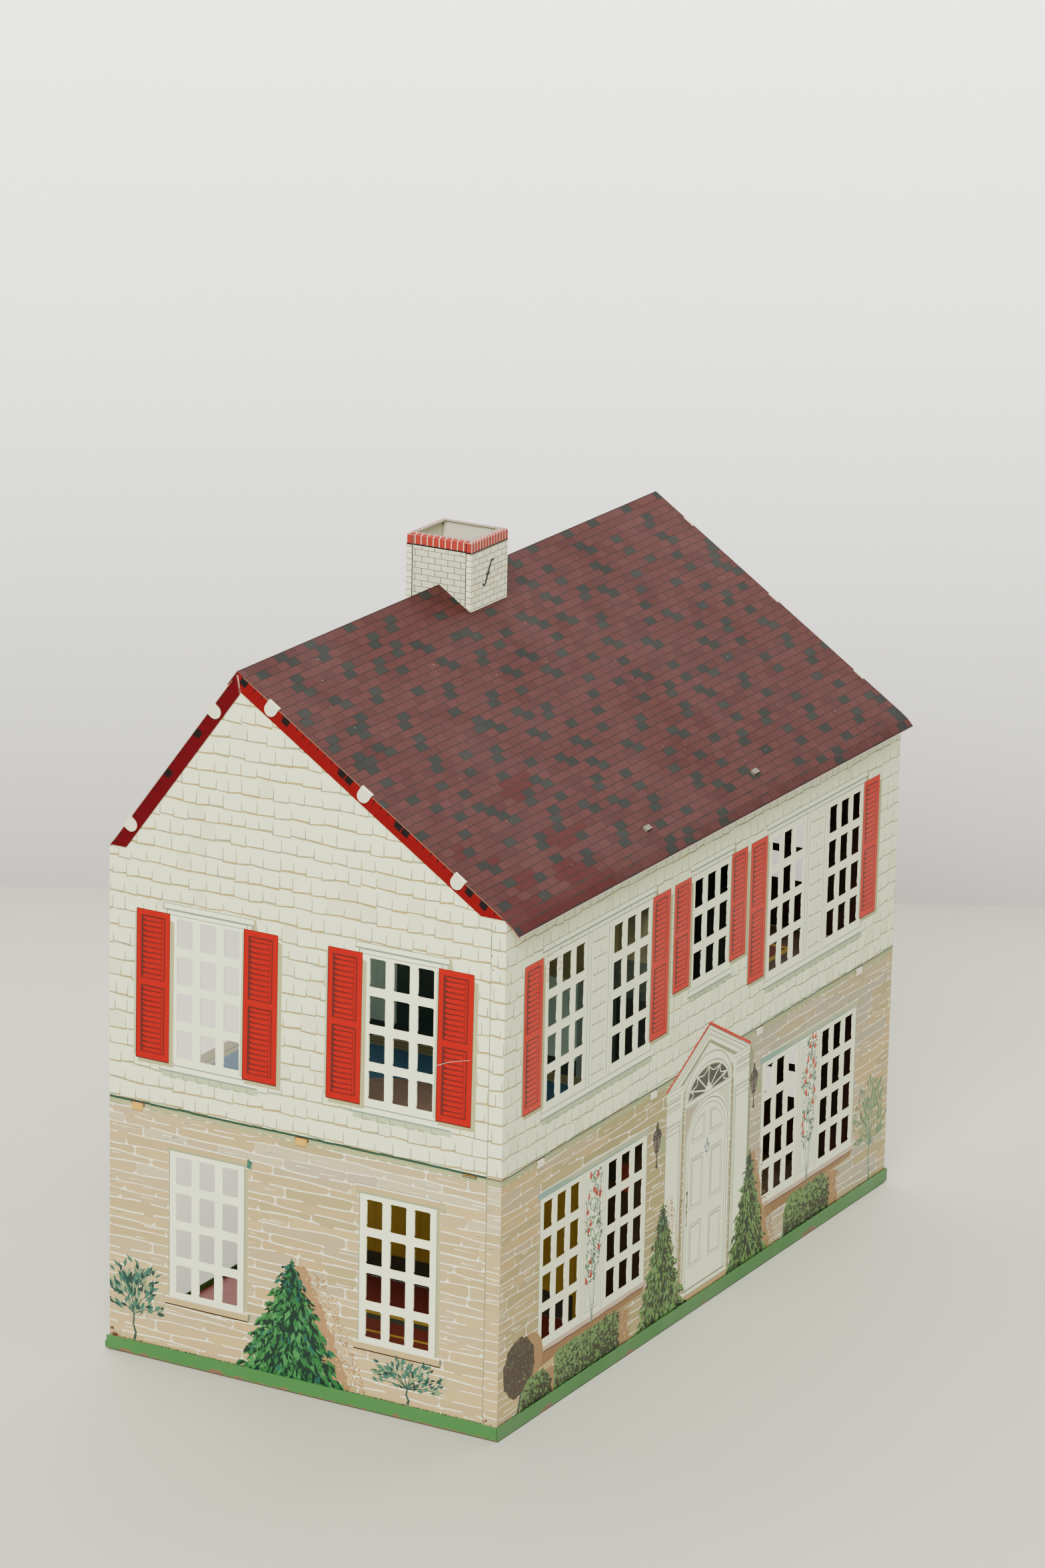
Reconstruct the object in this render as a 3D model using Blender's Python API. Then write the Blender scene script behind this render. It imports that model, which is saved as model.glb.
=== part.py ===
"""Two-storey doll's house folded from printed tinplate, with an open back and a lift-off chimney.

Metres, +Z up. The front wall faces -Y and the open back faces +Y. The origin is the middle of the
footprint at table height. Every piece is a sheet: flat panels folded along shared edges, given the
thickness of the tinplate, then punched with panes and slots. Bent tabs hold the sheets together.
"""

import math

import bmesh
import bpy
from mathutils import Vector

# Tinplate
SHEET = 0.0004                      # thickness of every sheet
GAP = 0.0003                        # clearance between sheets that touch
LAYER = SHEET + GAP                 # pitch of sheets lying on each other

# Overall sizes
LENGTH = 0.3825                     # over the front wall's side flanges
DEPTH = 0.203                       # front wall to the gables' rear edges
WALL_TOP = 0.240                    # roof folds at both eaves
RIDGE_TOP = 0.330
RIDGE_BEHIND_FRONT = 0.1367
EAVE_REACH = 0.0065                 # the front eave strip, out from the wall
EAVE_DROP = 0.006

# Ground floor tray
TRAY_STAND_OFF = 0.0012             # rim outside the walls
TRAY_RIM_TOP = 0.007
TRAY_REAR_LIP_TOP = 0.0039
TRAY_CORNER_NOTCH = 0.0007

# Walls
CORNER_FLANGE = 0.0074              # front wall, wrapped onto the gables
WALL_TOP_CLEARANCE = 0.001
HEM_WIDTH = 0.004                   # gables' rear hem
HEM_TOP = 0.235
FOOT_TAB_HALF_WIDTH = 0.004
FOOT_TAB_LENGTH = 0.005
FOOT_TABS_FRONT_X = (-0.15, -0.05, 0.05, 0.15)
FOOT_TABS_GABLE_Y = (-0.06, 0.0, 0.06)

# Windows, each a grid of punched panes
PANE_WIDTH = 0.0084
PANE_HEIGHT = 0.0133
PANE_CORNER = 0.0004
PANE_PITCH_X = 0.0122
PANE_PITCH_Z = 0.01725
PANE_COLUMNS = 3
UPPER_WINDOW_SILL = 0.1463
LOWER_WINDOW_SILL = 0.0345
FULL_ROWS = 4
SHORT_ROWS = 3
FRONT_PRINT_SHIFT = -0.0013         # the punched pattern sits a little left of centre
FRONT_WINDOWS_OUTER = 0.1352
FRONT_WINDOWS_INNER = 0.0761
GABLE_WINDOWS = 0.0496              # either side of the gable's middle

# Upper floor
UPPER_FLOOR_UNDER = 0.1206          # its lower face
UPPER_FLOOR_SETBACK = 0.0045        # in from the gables' rear edges, clear of their hems
UPPER_FLOOR_REAR_FLANGE = 0.005
FLOOR_TAB_HALF_WIDTH = 0.0028
FLOOR_TAB_DROP = 0.0026
FLOOR_TABS_FRONT_X = (-0.1558, -0.0519, 0.0519, 0.1558)
FLOOR_TABS_GABLE = (0.0165, 0.102, 0.188)       # behind the front wall
MISSING_TAB = 0                     # the left gable's front slot is empty

# Partitions
LOWER_PARTITION_X = -0.0532
UPPER_PARTITIONS_X = (-0.0552, 0.0490)
PARTITION_TOP = 0.2382
PARTITION_REAR_SETBACK = 0.0055
PARTITION_TABS = (0.045, 0.15)      # behind the front wall
PARTITION_TOP_TABS = (0.075, 0.12)
PARTITION_TAB_HALF_WIDTH = 0.003
PARTITION_TAB_NECK = 0.0009         # square to the sheet that a top tab passes through
ROOF_TAB_HALF_WIDTH = 0.0013
ROOF_TAB_LENGTH = 0.005
ROOF_TAB_FRONT = 0.0082             # up the front slope from the eave
ROOF_TAB_REAR = 0.014               # up the rear slope from its eave

# Roof
RAKE_FLANGE = 0.0066
RAKE_FLANGE_BOTTOM = 0.2405
MITRE_GAP = 0.0004
RIDGE_FLANGE = 0.0084
REAR_ROOF_START = 0.0012
REAR_HEM = 0.006
REAR_HEM_INSET = 0.0028
RAKE_TAB_HALF_WIDTH = 0.0031
RAKE_TAB_LENGTH = 0.0055
RAKE_TABS_FRONT = (0.028, 0.0844, 0.141)        # up the front slope from the eave
RAKE_TABS_REAR = (0.0226, 0.0956)               # down the rear slope from the ridge

# Chimney
CHIMNEY_X = -0.0014
CHIMNEY_HALF_WIDTH = 0.0165
CHIMNEY_HALF_DEPTH = 0.0172
CHIMNEY_TOP = 0.3522
CHIMNEY_FLANGE = 0.0032
CHIMNEY_ROLL = 0.0008
CHIMNEY_LIP = 0.003
CHIMNEY_MITRE = 0.00025
CHIMNEY_FLANGE_CLEARANCE = 0.0006
CHIMNEY_PLUG = 0.006                # side plates below the roof
CHIMNEY_PLAY = 0.0004

# Places that follow from the sizes above
HALF = LENGTH / 2
FRONT_Y = -(DEPTH + TRAY_STAND_OFF - EAVE_REACH) / 2
REAR_Y = FRONT_Y + DEPTH
RIDGE_Y = FRONT_Y + RIDGE_BEHIND_FRONT
TRAY_UNDER = LAYER
FLOOR_TOP = TRAY_UNDER + SHEET
WALL_FOOT = FLOOR_TOP + GAP
GABLE_OUTER = HALF - LAYER
GABLE_INNER = GABLE_OUTER - SHEET
UPPER_FLOOR_TOP = UPPER_FLOOR_UNDER + SHEET
FRONT_WALL_INNER = FRONT_Y + SHEET

EAVE_FRONT = Vector((0, FRONT_Y, WALL_TOP))
EAVE_REAR = Vector((0, REAR_Y, WALL_TOP))
RIDGE = Vector((0, RIDGE_Y, RIDGE_TOP))
UP_FRONT = (RIDGE - EAVE_FRONT).normalized()
DOWN_REAR = (EAVE_REAR - RIDGE).normalized()
FRONT_NORMAL = Vector((0, -UP_FRONT.z, UP_FRONT.y))
REAR_NORMAL = Vector((0, -DOWN_REAR.z, DOWN_REAR.y))
FRONT_SLOPE = (RIDGE - EAVE_FRONT).length
REAR_SLOPE = (EAVE_REAR - RIDGE).length
X_AXIS = Vector((1, 0, 0))

# Printed colours: name -> (colour, roughness, metallic)
FINISHES = {
    "grass_green": ((0.13, 0.34, 0.12, 1), 0.42, 0.0),
    "cream_shingle": ((0.72, 0.72, 0.60, 1), 0.38, 0.0),
    "cream_front": ((0.66, 0.68, 0.60, 1), 0.38, 0.0),
    "blue_carpet": ((0.07, 0.16, 0.25, 1), 0.45, 0.0),
    "mustard_wall": ((0.52, 0.38, 0.05, 1), 0.45, 0.0),
    "teal_wall": ((0.05, 0.13, 0.13, 1), 0.45, 0.0),
    "maroon_tiles": ((0.16, 0.035, 0.03, 1), 0.3, 0.0),
    "white_brick": ((0.62, 0.60, 0.50, 1), 0.4, 0.0),
}


def clear_scene():
    """Remove whatever the file holds."""
    for obj in list(bpy.data.objects):
        bpy.data.objects.remove(obj, do_unlink=True)


def finish_material(name):
    """The Principled material of one printed colour."""
    material = bpy.data.materials.get(name)
    if material is None:
        material = bpy.data.materials.new(name)
        material.use_nodes = True
        colour, roughness, metallic = FINISHES[name]
        shader = material.node_tree.nodes["Principled BSDF"]
        shader.inputs["Base Color"].default_value = colour
        shader.inputs["Roughness"].default_value = roughness
        shader.inputs["Metallic"].default_value = metallic
    return material


def add_object(name, mesh_data, parent=None):
    """Turn a bmesh into an object in the scene."""
    mesh = bpy.data.meshes.new(name)
    mesh_data.to_mesh(mesh)
    mesh_data.free()
    obj = bpy.data.objects.new(name, mesh)
    bpy.context.scene.collection.objects.link(obj)
    if parent is not None:
        obj.parent = parent
        mesh.transform(parent.matrix_world.inverted())
    return obj


def folded_sheet(name, panels, outside, finish, parent=None):
    """A sheet from flat panels that share corners. Its thickness goes in from the panels' outer side.

    outside is the way that the first panel's outer side faces.
    """
    mesh_data = bmesh.new()
    corner_at = {}
    for panel in panels:
        corners = []
        for point in panel:
            key = tuple(round(value, 7) for value in point)
            if key not in corner_at:
                corner_at[key] = mesh_data.verts.new(key)
            corners.append(corner_at[key])
        mesh_data.faces.new(corners)
    bmesh.ops.recalc_face_normals(mesh_data, faces=mesh_data.faces)
    mesh_data.faces.ensure_lookup_table()
    if mesh_data.faces[0].normal.dot(Vector(outside)) < 0:
        bmesh.ops.reverse_faces(mesh_data, faces=mesh_data.faces)
    obj = add_object(name, mesh_data, parent)
    obj.data.materials.append(finish_material(finish))
    solidify = obj.modifiers.new("Sheet thickness", "SOLIDIFY")
    solidify.solidify_mode = "NON_MANIFOLD"
    solidify.nonmanifold_thickness_mode = "CONSTRAINTS"
    solidify.nonmanifold_boundary_mode = "NONE"
    solidify.nonmanifold_merge_threshold = 0.000005
    solidify.thickness = SHEET
    solidify.offset = -1
    return obj


def add_prism(mesh_data, outline, depth):
    """A closed prism: a flat outline pushed along the vector depth."""
    near = [mesh_data.verts.new(point) for point in outline]
    far = [mesh_data.verts.new(Vector(point) + depth) for point in outline]
    faces = [mesh_data.faces.new(near), mesh_data.faces.new(far)]
    for index in range(len(outline)):
        after = (index + 1) % len(outline)
        faces.append(mesh_data.faces.new((near[index], near[after], far[after], far[index])))
    bmesh.ops.recalc_face_normals(mesh_data, faces=faces)


def add_box(mesh_data, low, high):
    """An axis-aligned box as a prism along Z."""
    outline = [(low[0], low[1], low[2]), (high[0], low[1], low[2]),
               (high[0], high[1], low[2]), (low[0], high[1], low[2])]
    add_prism(mesh_data, outline, Vector((0, 0, high[2] - low[2])))


def add_slope_box(mesh_data, origin, along, normal, x_range, along_range, normal_range):
    """A box square to a roof slope, given by its ranges along X, up the slope and out of it."""
    outline = []
    for distance, out in ((0, 0), (1, 0), (1, 1), (0, 1)):
        point = origin + along * along_range[distance] + normal * normal_range[out]
        outline.append(point + X_AXIS * x_range[0])
    add_prism(mesh_data, outline, X_AXIS * (x_range[1] - x_range[0]))


def punch(obj, mesh_data):
    """Cut the closed shapes in mesh_data out of a sheet."""
    cutter = add_object(obj.name + "_punch", mesh_data)
    cutter.hide_render = True
    cutter.display_type = "WIRE"
    boolean = obj.modifiers.new("Punched holes", "BOOLEAN")
    boolean.operation = "DIFFERENCE"
    boolean.solver = "EXACT"
    boolean.object = cutter


def add_window(mesh_data, sill_middle, across, depth, rows):
    """The panes of one window, as prisms with cut corners. across runs along the wall."""
    half = PANE_WIDTH / 2
    corner_loop = [
        (-half + PANE_CORNER, 0), (half - PANE_CORNER, 0), (half, PANE_CORNER),
        (half, PANE_HEIGHT - PANE_CORNER), (half - PANE_CORNER, PANE_HEIGHT),
        (-half + PANE_CORNER, PANE_HEIGHT), (-half, PANE_HEIGHT - PANE_CORNER), (-half, PANE_CORNER)]
    for column in range(PANE_COLUMNS):
        for row in range(rows):
            shift = (column - (PANE_COLUMNS - 1) / 2) * PANE_PITCH_X
            corner = sill_middle + across * shift + Vector((0, 0, row * PANE_PITCH_Z))
            outline = [corner + across * x + Vector((0, 0, z)) for x, z in corner_loop]
            add_prism(mesh_data, outline, depth)


def line_height(origin, along, y):
    """Height of a roof line at one Y."""
    return origin.z + (y - origin.y) * along.z / along.y


def front_roof_height(y, out=0.0):
    """Height of the front slope's outer face, or of a line parallel to it."""
    return line_height(EAVE_FRONT + FRONT_NORMAL * out, UP_FRONT, y)


def rear_roof_height(y, out=0.0):
    """Height of the rear slope's outer face, which lies one layer inside the ridge flange."""
    return line_height(EAVE_REAR + REAR_NORMAL * (out - LAYER), DOWN_REAR, y)


def meet(origin_a, along_a, origin_b, along_b):
    """Where two lines in the YZ plane cross."""
    gap = origin_b - origin_a
    cross = along_a.y * along_b.z - along_a.z * along_b.y
    distance = (gap.y * along_b.z - gap.z * along_b.y) / cross
    return origin_a + along_a * distance


def foot_outline(point_at, centre, half_width, tab_end):
    """Corners of a foot tab in a wall's lower edge. point_at(s, z) gives the wall's points."""
    return [point_at(centre - half_width, WALL_FOOT), point_at(centre - half_width, tab_end),
            point_at(centre + half_width, tab_end), point_at(centre + half_width, WALL_FOOT)]


def ground_floor():
    """The base tray: a floor with a rim on all four sides, open at its corners."""
    x = HALF + TRAY_STAND_OFF
    front = FRONT_Y - TRAY_STAND_OFF
    rear = REAR_Y + TRAY_STAND_OFF
    side_front = front + TRAY_CORNER_NOTCH
    side_rear = rear - TRAY_CORNER_NOTCH
    under = TRAY_UNDER
    floor = [(-x, front, under), (-x, side_front, under), (-x, side_rear, under), (-x, rear, under),
             (x, rear, under), (x, side_rear, under), (x, side_front, under), (x, front, under)]
    front_rim = [(-x, front, under), (x, front, under), (x, front, TRAY_RIM_TOP), (-x, front, TRAY_RIM_TOP)]
    rear_lip = [(-x, rear, under), (x, rear, under),
                (x, rear, TRAY_REAR_LIP_TOP), (-x, rear, TRAY_REAR_LIP_TOP)]
    side_rims = [[(side * x, side_front, under), (side * x, side_rear, under),
                  (side * x, side_rear, TRAY_RIM_TOP), (side * x, side_front, TRAY_RIM_TOP)]
                 for side in (-1, 1)]
    tray = folded_sheet("ground_floor", [floor, front_rim, rear_lip] + side_rims, (0, 0, -1), "grass_green")
    slots = bmesh.new()
    half = FOOT_TAB_HALF_WIDTH + GAP
    for x_tab in FOOT_TABS_FRONT_X:
        add_box(slots, (x_tab - half, FRONT_Y - GAP, 0), (x_tab + half, FRONT_WALL_INNER + GAP, 0.002))
    for side in (-1, 1):
        near, far = sorted((side * (GABLE_OUTER + GAP), side * (GABLE_INNER - GAP)))
        for y_tab in FOOT_TABS_GABLE_Y:
            add_box(slots, (near, y_tab - half, 0), (far, y_tab + half, 0.002))
    half = PARTITION_TAB_HALF_WIDTH + GAP
    for distance in PARTITION_TABS:
        y_tab = FRONT_Y + distance
        add_box(slots, (LOWER_PARTITION_X - GAP, y_tab - half, 0),
                (LOWER_PARTITION_X + SHEET + GAP, y_tab + half, 0.002))
    punch(tray, slots)
    return tray


def front_wall():
    """The front sheet, wrapped round both corners, with nine windows: five above and four below."""
    top = WALL_TOP - WALL_TOP_CLEARANCE
    outline = [(-HALF, FRONT_Y, top), (-HALF, FRONT_Y, WALL_FOOT)]
    legs = []
    for x_tab in FOOT_TABS_FRONT_X:
        outline += foot_outline(lambda s, z: (s, FRONT_Y, z), x_tab, FOOT_TAB_HALF_WIDTH, 0)
        low, high = x_tab - FOOT_TAB_HALF_WIDTH, x_tab + FOOT_TAB_HALF_WIDTH
        inner = FRONT_Y + FOOT_TAB_LENGTH
        legs.append([(low, FRONT_Y, 0), (low, inner, 0), (high, inner, 0), (high, FRONT_Y, 0)])
    outline += [(HALF, FRONT_Y, WALL_FOOT), (HALF, FRONT_Y, top)]
    flanges = [[(side * HALF, FRONT_Y, WALL_FOOT), (side * HALF, FRONT_Y, top),
                (side * HALF, FRONT_Y + CORNER_FLANGE, top),
                (side * HALF, FRONT_Y + CORNER_FLANGE, WALL_FOOT)]
               for side in (-1, 1)]
    wall = folded_sheet("front_wall", [outline] + legs + flanges, (0, -1, 0), "cream_front")
    holes = bmesh.new()
    depth = Vector((0, 0.002, 0))
    windows = []
    for offset in (-FRONT_WINDOWS_OUTER, -FRONT_WINDOWS_INNER, FRONT_WINDOWS_INNER, FRONT_WINDOWS_OUTER):
        windows.append((offset, UPPER_WINDOW_SILL, FULL_ROWS))
        windows.append((offset, LOWER_WINDOW_SILL, FULL_ROWS))
    windows.append((0, UPPER_WINDOW_SILL + PANE_PITCH_Z, SHORT_ROWS))
    for offset, sill, rows in windows:
        middle = Vector((FRONT_PRINT_SHIFT + offset, FRONT_Y - 0.001, sill))
        add_window(holes, middle, X_AXIS, depth, rows)
    half = FLOOR_TAB_HALF_WIDTH + GAP
    for x_tab in FLOOR_TABS_FRONT_X:
        x_slot = x_tab + FRONT_PRINT_SHIFT
        add_box(holes, (x_slot - half, FRONT_Y - 0.001, UPPER_FLOOR_UNDER - GAP),
                (x_slot + half, FRONT_Y + 0.001, UPPER_FLOOR_TOP + GAP))
    punch(wall, holes)
    return wall


def rake_tab(side, origin, along, normal, distance, level):
    """A half-round tab of a gable: up through the roof's fold, over it and down its flange.

    Returns the tab's corners in the gable's outline, then its two bent panels.
    """
    gable_x = side * GABLE_OUTER
    leg_x = side * (HALF + GAP)
    centre = origin + along * distance
    low, high = -RAKE_TAB_HALF_WIDTH, RAKE_TAB_HALF_WIDTH

    def point(x, s, out):
        place = centre + along * s + normal * (level + out)
        return (x, place.y, place.z)

    outline = [point(gable_x, low, -LAYER), point(gable_x, low, GAP),
               point(gable_x, high, GAP), point(gable_x, high, -LAYER)]
    over = [point(gable_x, low, GAP), point(gable_x, high, GAP),
            point(leg_x, high, GAP), point(leg_x, low, GAP)]
    straight = RAKE_TAB_LENGTH - RAKE_TAB_HALF_WIDTH
    leg = [point(leg_x, low, GAP), point(leg_x, high, GAP)]
    steps = 8
    for step in range(steps + 1):
        angle = math.pi * step / steps
        leg.append(point(leg_x, high * math.cos(angle), -straight - high * math.sin(angle)))
    return outline, [over, leg]


def gable(name, side):
    """An end wall with its peak, rake tabs, rear hem and foot tabs. side is -1 left, 1 right."""
    x = side * GABLE_OUTER
    front = FRONT_WALL_INNER + GAP
    outline = [(x, REAR_Y, rear_roof_height(REAR_Y, -LAYER)), (x, REAR_Y, HEM_TOP), (x, REAR_Y, WALL_FOOT)]
    panels = []
    for y_tab in reversed(FOOT_TABS_GABLE_Y):
        outline += foot_outline(lambda s, z: (x, -s, z), -y_tab, FOOT_TAB_HALF_WIDTH, 0)
        low, high = y_tab - FOOT_TAB_HALF_WIDTH, y_tab + FOOT_TAB_HALF_WIDTH
        inner = x - side * FOOT_TAB_LENGTH
        panels.append([(x, low, 0), (x, high, 0), (inner, high, 0), (inner, low, 0)])
    outline += [(x, front, WALL_FOOT), (x, front, front_roof_height(front, -LAYER))]
    for distance in RAKE_TABS_FRONT:
        corners, bent = rake_tab(side, EAVE_FRONT, UP_FRONT, FRONT_NORMAL, distance, 0)
        outline += corners
        panels += bent
    apex = meet(EAVE_FRONT - FRONT_NORMAL * LAYER, UP_FRONT, RIDGE - REAR_NORMAL * (2 * LAYER), DOWN_REAR)
    outline.append((x, apex.y, apex.z))
    for distance in RAKE_TABS_REAR:
        corners, bent = rake_tab(side, RIDGE, DOWN_REAR, REAR_NORMAL, distance, -LAYER)
        outline += corners
        panels += bent
    hem_x = x - side * (2 * SHEET + GAP)
    panels.append([(x, REAR_Y, HEM_TOP), (x, REAR_Y, WALL_FOOT),
                   (hem_x, REAR_Y, WALL_FOOT), (hem_x, REAR_Y, HEM_TOP)])
    panels.append([(hem_x, REAR_Y, HEM_TOP), (hem_x, REAR_Y, WALL_FOOT),
                   (hem_x, REAR_Y - HEM_WIDTH, WALL_FOOT), (hem_x, REAR_Y - HEM_WIDTH, HEM_TOP)])
    wall = folded_sheet(name, [outline] + panels, (side, 0, 0), "cream_shingle")
    holes = bmesh.new()
    middle_y = FRONT_Y + DEPTH / 2
    depth = Vector((-side * 0.002, 0, 0))
    across = Vector((0, 1, 0))
    for offset in (-GABLE_WINDOWS, GABLE_WINDOWS):
        for sill in (UPPER_WINDOW_SILL, LOWER_WINDOW_SILL):
            add_window(holes, Vector((x + side * 0.001, middle_y + offset, sill)), across, depth, FULL_ROWS)
    half = FLOOR_TAB_HALF_WIDTH + GAP
    for distance in FLOOR_TABS_GABLE:
        y_tab = FRONT_Y + distance
        add_box(holes, (x - 0.0007, y_tab - half, UPPER_FLOOR_UNDER - GAP),
                (x + 0.0007, y_tab + half, UPPER_FLOOR_TOP + GAP))
    punch(wall, holes)
    return wall


def upper_floor():
    """The upper floor: tabs out through the walls and bent down, and a flange along its rear edge."""
    x = GABLE_INNER - GAP
    front = FRONT_WALL_INNER + GAP
    rear = REAR_Y - UPPER_FLOOR_SETBACK
    z = UPPER_FLOOR_UNDER
    leg_z = z - FLOOR_TAB_DROP
    half = FLOOR_TAB_HALF_WIDTH
    flange_x = x - SHEET
    panels = []
    front_edge = []
    leg_y = FRONT_Y - GAP
    for x_tab in FLOOR_TABS_FRONT_X:
        low, high = x_tab + FRONT_PRINT_SHIFT - half, x_tab + FRONT_PRINT_SHIFT + half
        front_edge += [(low, front, z), (low, leg_y, z), (high, leg_y, z), (high, front, z)]
        panels.append([(low, leg_y, z), (high, leg_y, z), (high, leg_y, leg_z), (low, leg_y, leg_z)])
    side_edges = {}
    for side in (-1, 1):
        leg_x = side * (GABLE_OUTER + GAP)
        edge = []
        for number, distance in enumerate(FLOOR_TABS_GABLE):
            if side < 0 and number == MISSING_TAB:
                continue
            low, high = FRONT_Y + distance - half, FRONT_Y + distance + half
            edge += [(side * x, low, z), (leg_x, low, z), (leg_x, high, z), (side * x, high, z)]
            panels.append([(leg_x, low, z), (leg_x, high, z), (leg_x, high, leg_z), (leg_x, low, leg_z)])
        side_edges[side] = edge
    outline = [(-x, front, z)] + front_edge + [(x, front, z)] + side_edges[1]
    outline += [(x, rear, z), (flange_x, rear, z), (-flange_x, rear, z), (-x, rear, z)]
    outline += list(reversed(side_edges[-1]))
    bottom = z - UPPER_FLOOR_REAR_FLANGE
    panels.append([(-flange_x, rear, z), (flange_x, rear, z),
                   (flange_x, rear, bottom), (-flange_x, rear, bottom)])
    floor = folded_sheet("upper_floor", [outline] + panels, (0, 0, -1), "blue_carpet")
    slots = bmesh.new()
    half = PARTITION_TAB_HALF_WIDTH + GAP
    places = [(x_wall, distance) for x_wall in UPPER_PARTITIONS_X for distance in PARTITION_TABS]
    places += [(LOWER_PARTITION_X, distance) for distance in PARTITION_TOP_TABS]
    for x_wall, distance in places:
        y_tab = FRONT_Y + distance
        add_box(slots, (x_wall - GAP, y_tab - half, z - 0.001),
                (x_wall + SHEET + GAP, y_tab + half, z + 0.001))
    punch(floor, slots)
    return floor


def partition(name, x, bottom, top, tab_under, top_tabs, finish):
    """A flat wall across the house. Its tabs pass through floor and ceiling and bend towards +X.

    tab_under is the lower face of the bent foot tabs. top_tabs lists each tab in the upper edge, from
    front to rear: both corners at the level of its upper face, and the way that it stands.
    """
    front = FRONT_WALL_INNER + GAP
    rear = REAR_Y - PARTITION_REAR_SETBACK
    outline = [(x, front, top), (x, front, bottom)]
    panels = []
    for distance in PARTITION_TABS:
        low = FRONT_Y + distance - PARTITION_TAB_HALF_WIDTH
        high = FRONT_Y + distance + PARTITION_TAB_HALF_WIDTH
        outline += [(x, low, bottom), (x, low, tab_under), (x, high, tab_under), (x, high, bottom)]
        end = x + FOOT_TAB_LENGTH
        panels.append([(x, low, tab_under), (end, low, tab_under),
                       (end, high, tab_under), (x, high, tab_under)])
    outline += [(x, rear, bottom), (x, rear, top)]
    for near, far, out in reversed(top_tabs):
        neck = out * PARTITION_TAB_NECK
        outline += [(x, far.y - neck.y, top), at_x(x, far - neck), at_x(x, far)]
        outline += [at_x(x, near), at_x(x, near - neck), (x, near.y - neck.y, top)]
        end = x + ROOF_TAB_LENGTH
        panels.append([at_x(x, near), at_x(end, near), at_x(end, far), at_x(x, far)])
    return folded_sheet(name, [outline] + panels, (-1, 0, 0), finish)


def partitions():
    """One wall on the ground floor and two on the upper floor."""
    level = UPPER_FLOOR_TOP + LAYER
    top_tabs = []
    for distance in PARTITION_TOP_TABS:
        low = FRONT_Y + distance - PARTITION_TAB_HALF_WIDTH
        high = FRONT_Y + distance + PARTITION_TAB_HALF_WIDTH
        top_tabs.append((Vector((0, low, level)), Vector((0, high, level)), Vector((0, 0, 1))))
    partition("lower_partition", LOWER_PARTITION_X, WALL_FOOT, UPPER_FLOOR_UNDER - LAYER - GAP, 0, top_tabs,
              "mustard_wall")
    roof_tabs = []
    for origin, along, normal, distance, out in roof_tab_places():
        ends = [origin + along * (distance + step) + normal * (out + LAYER)
                for step in (-ROOF_TAB_HALF_WIDTH, ROOF_TAB_HALF_WIDTH)]
        roof_tabs.append((ends[0], ends[1], normal))
    tab_under = UPPER_FLOOR_UNDER - LAYER
    for label, x in zip(("left", "right"), UPPER_PARTITIONS_X):
        partition("upper_partition_" + label, x, UPPER_FLOOR_TOP + GAP, PARTITION_TOP, tab_under, roof_tabs,
                  "teal_wall")


def roof_tab_places():
    """The partitions' tabs in both slopes: line, direction, normal, distance and outer face's level."""
    return [(EAVE_FRONT, UP_FRONT, FRONT_NORMAL, ROOF_TAB_FRONT, 0.0),
            (RIDGE, DOWN_REAR, REAR_NORMAL, REAR_SLOPE - ROOF_TAB_REAR, -LAYER)]


def rake_slots(mesh_data, origin, along, normal, distances, level):
    """Slots in a roof's folds for the gables' half-round tabs."""
    half = RAKE_TAB_HALF_WIDTH + GAP
    for side in (-1, 1):
        x_range = sorted((side * (HALF + 0.0002), side * (GABLE_INNER - GAP)))
        for distance in distances:
            add_slope_box(mesh_data, origin, along, normal, x_range, (distance - half, distance + half),
                          (level - SHEET - 0.00005, level + 0.001))


def partition_slot(mesh_data, place):
    """Slots in one slope for the upper partitions' tabs."""
    origin, along, normal, distance, level = place
    half = ROOF_TAB_HALF_WIDTH + GAP
    for x_wall in UPPER_PARTITIONS_X:
        x_range = (x_wall - 2 * SHEET, x_wall + ROOF_TAB_LENGTH + SHEET + 0.001)
        add_slope_box(mesh_data, origin, along, normal, x_range, (distance - half, distance + half),
                      (level - 0.001, level + 0.001))


def chimney_opening(mesh_data):
    """The upright opening that the chimney's side plates drop into."""
    half_x = CHIMNEY_HALF_WIDTH - LAYER + CHIMNEY_PLAY
    half_y = CHIMNEY_HALF_DEPTH - SHEET - 0.0001
    add_box(mesh_data, (CHIMNEY_X - half_x, RIDGE_Y - half_y, 0.28),
            (CHIMNEY_X + half_x, RIDGE_Y + half_y, 0.35))


def at_x(x, point):
    """A point of the roof's section, moved to one X."""
    return (x, point.y, point.z)


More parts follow.
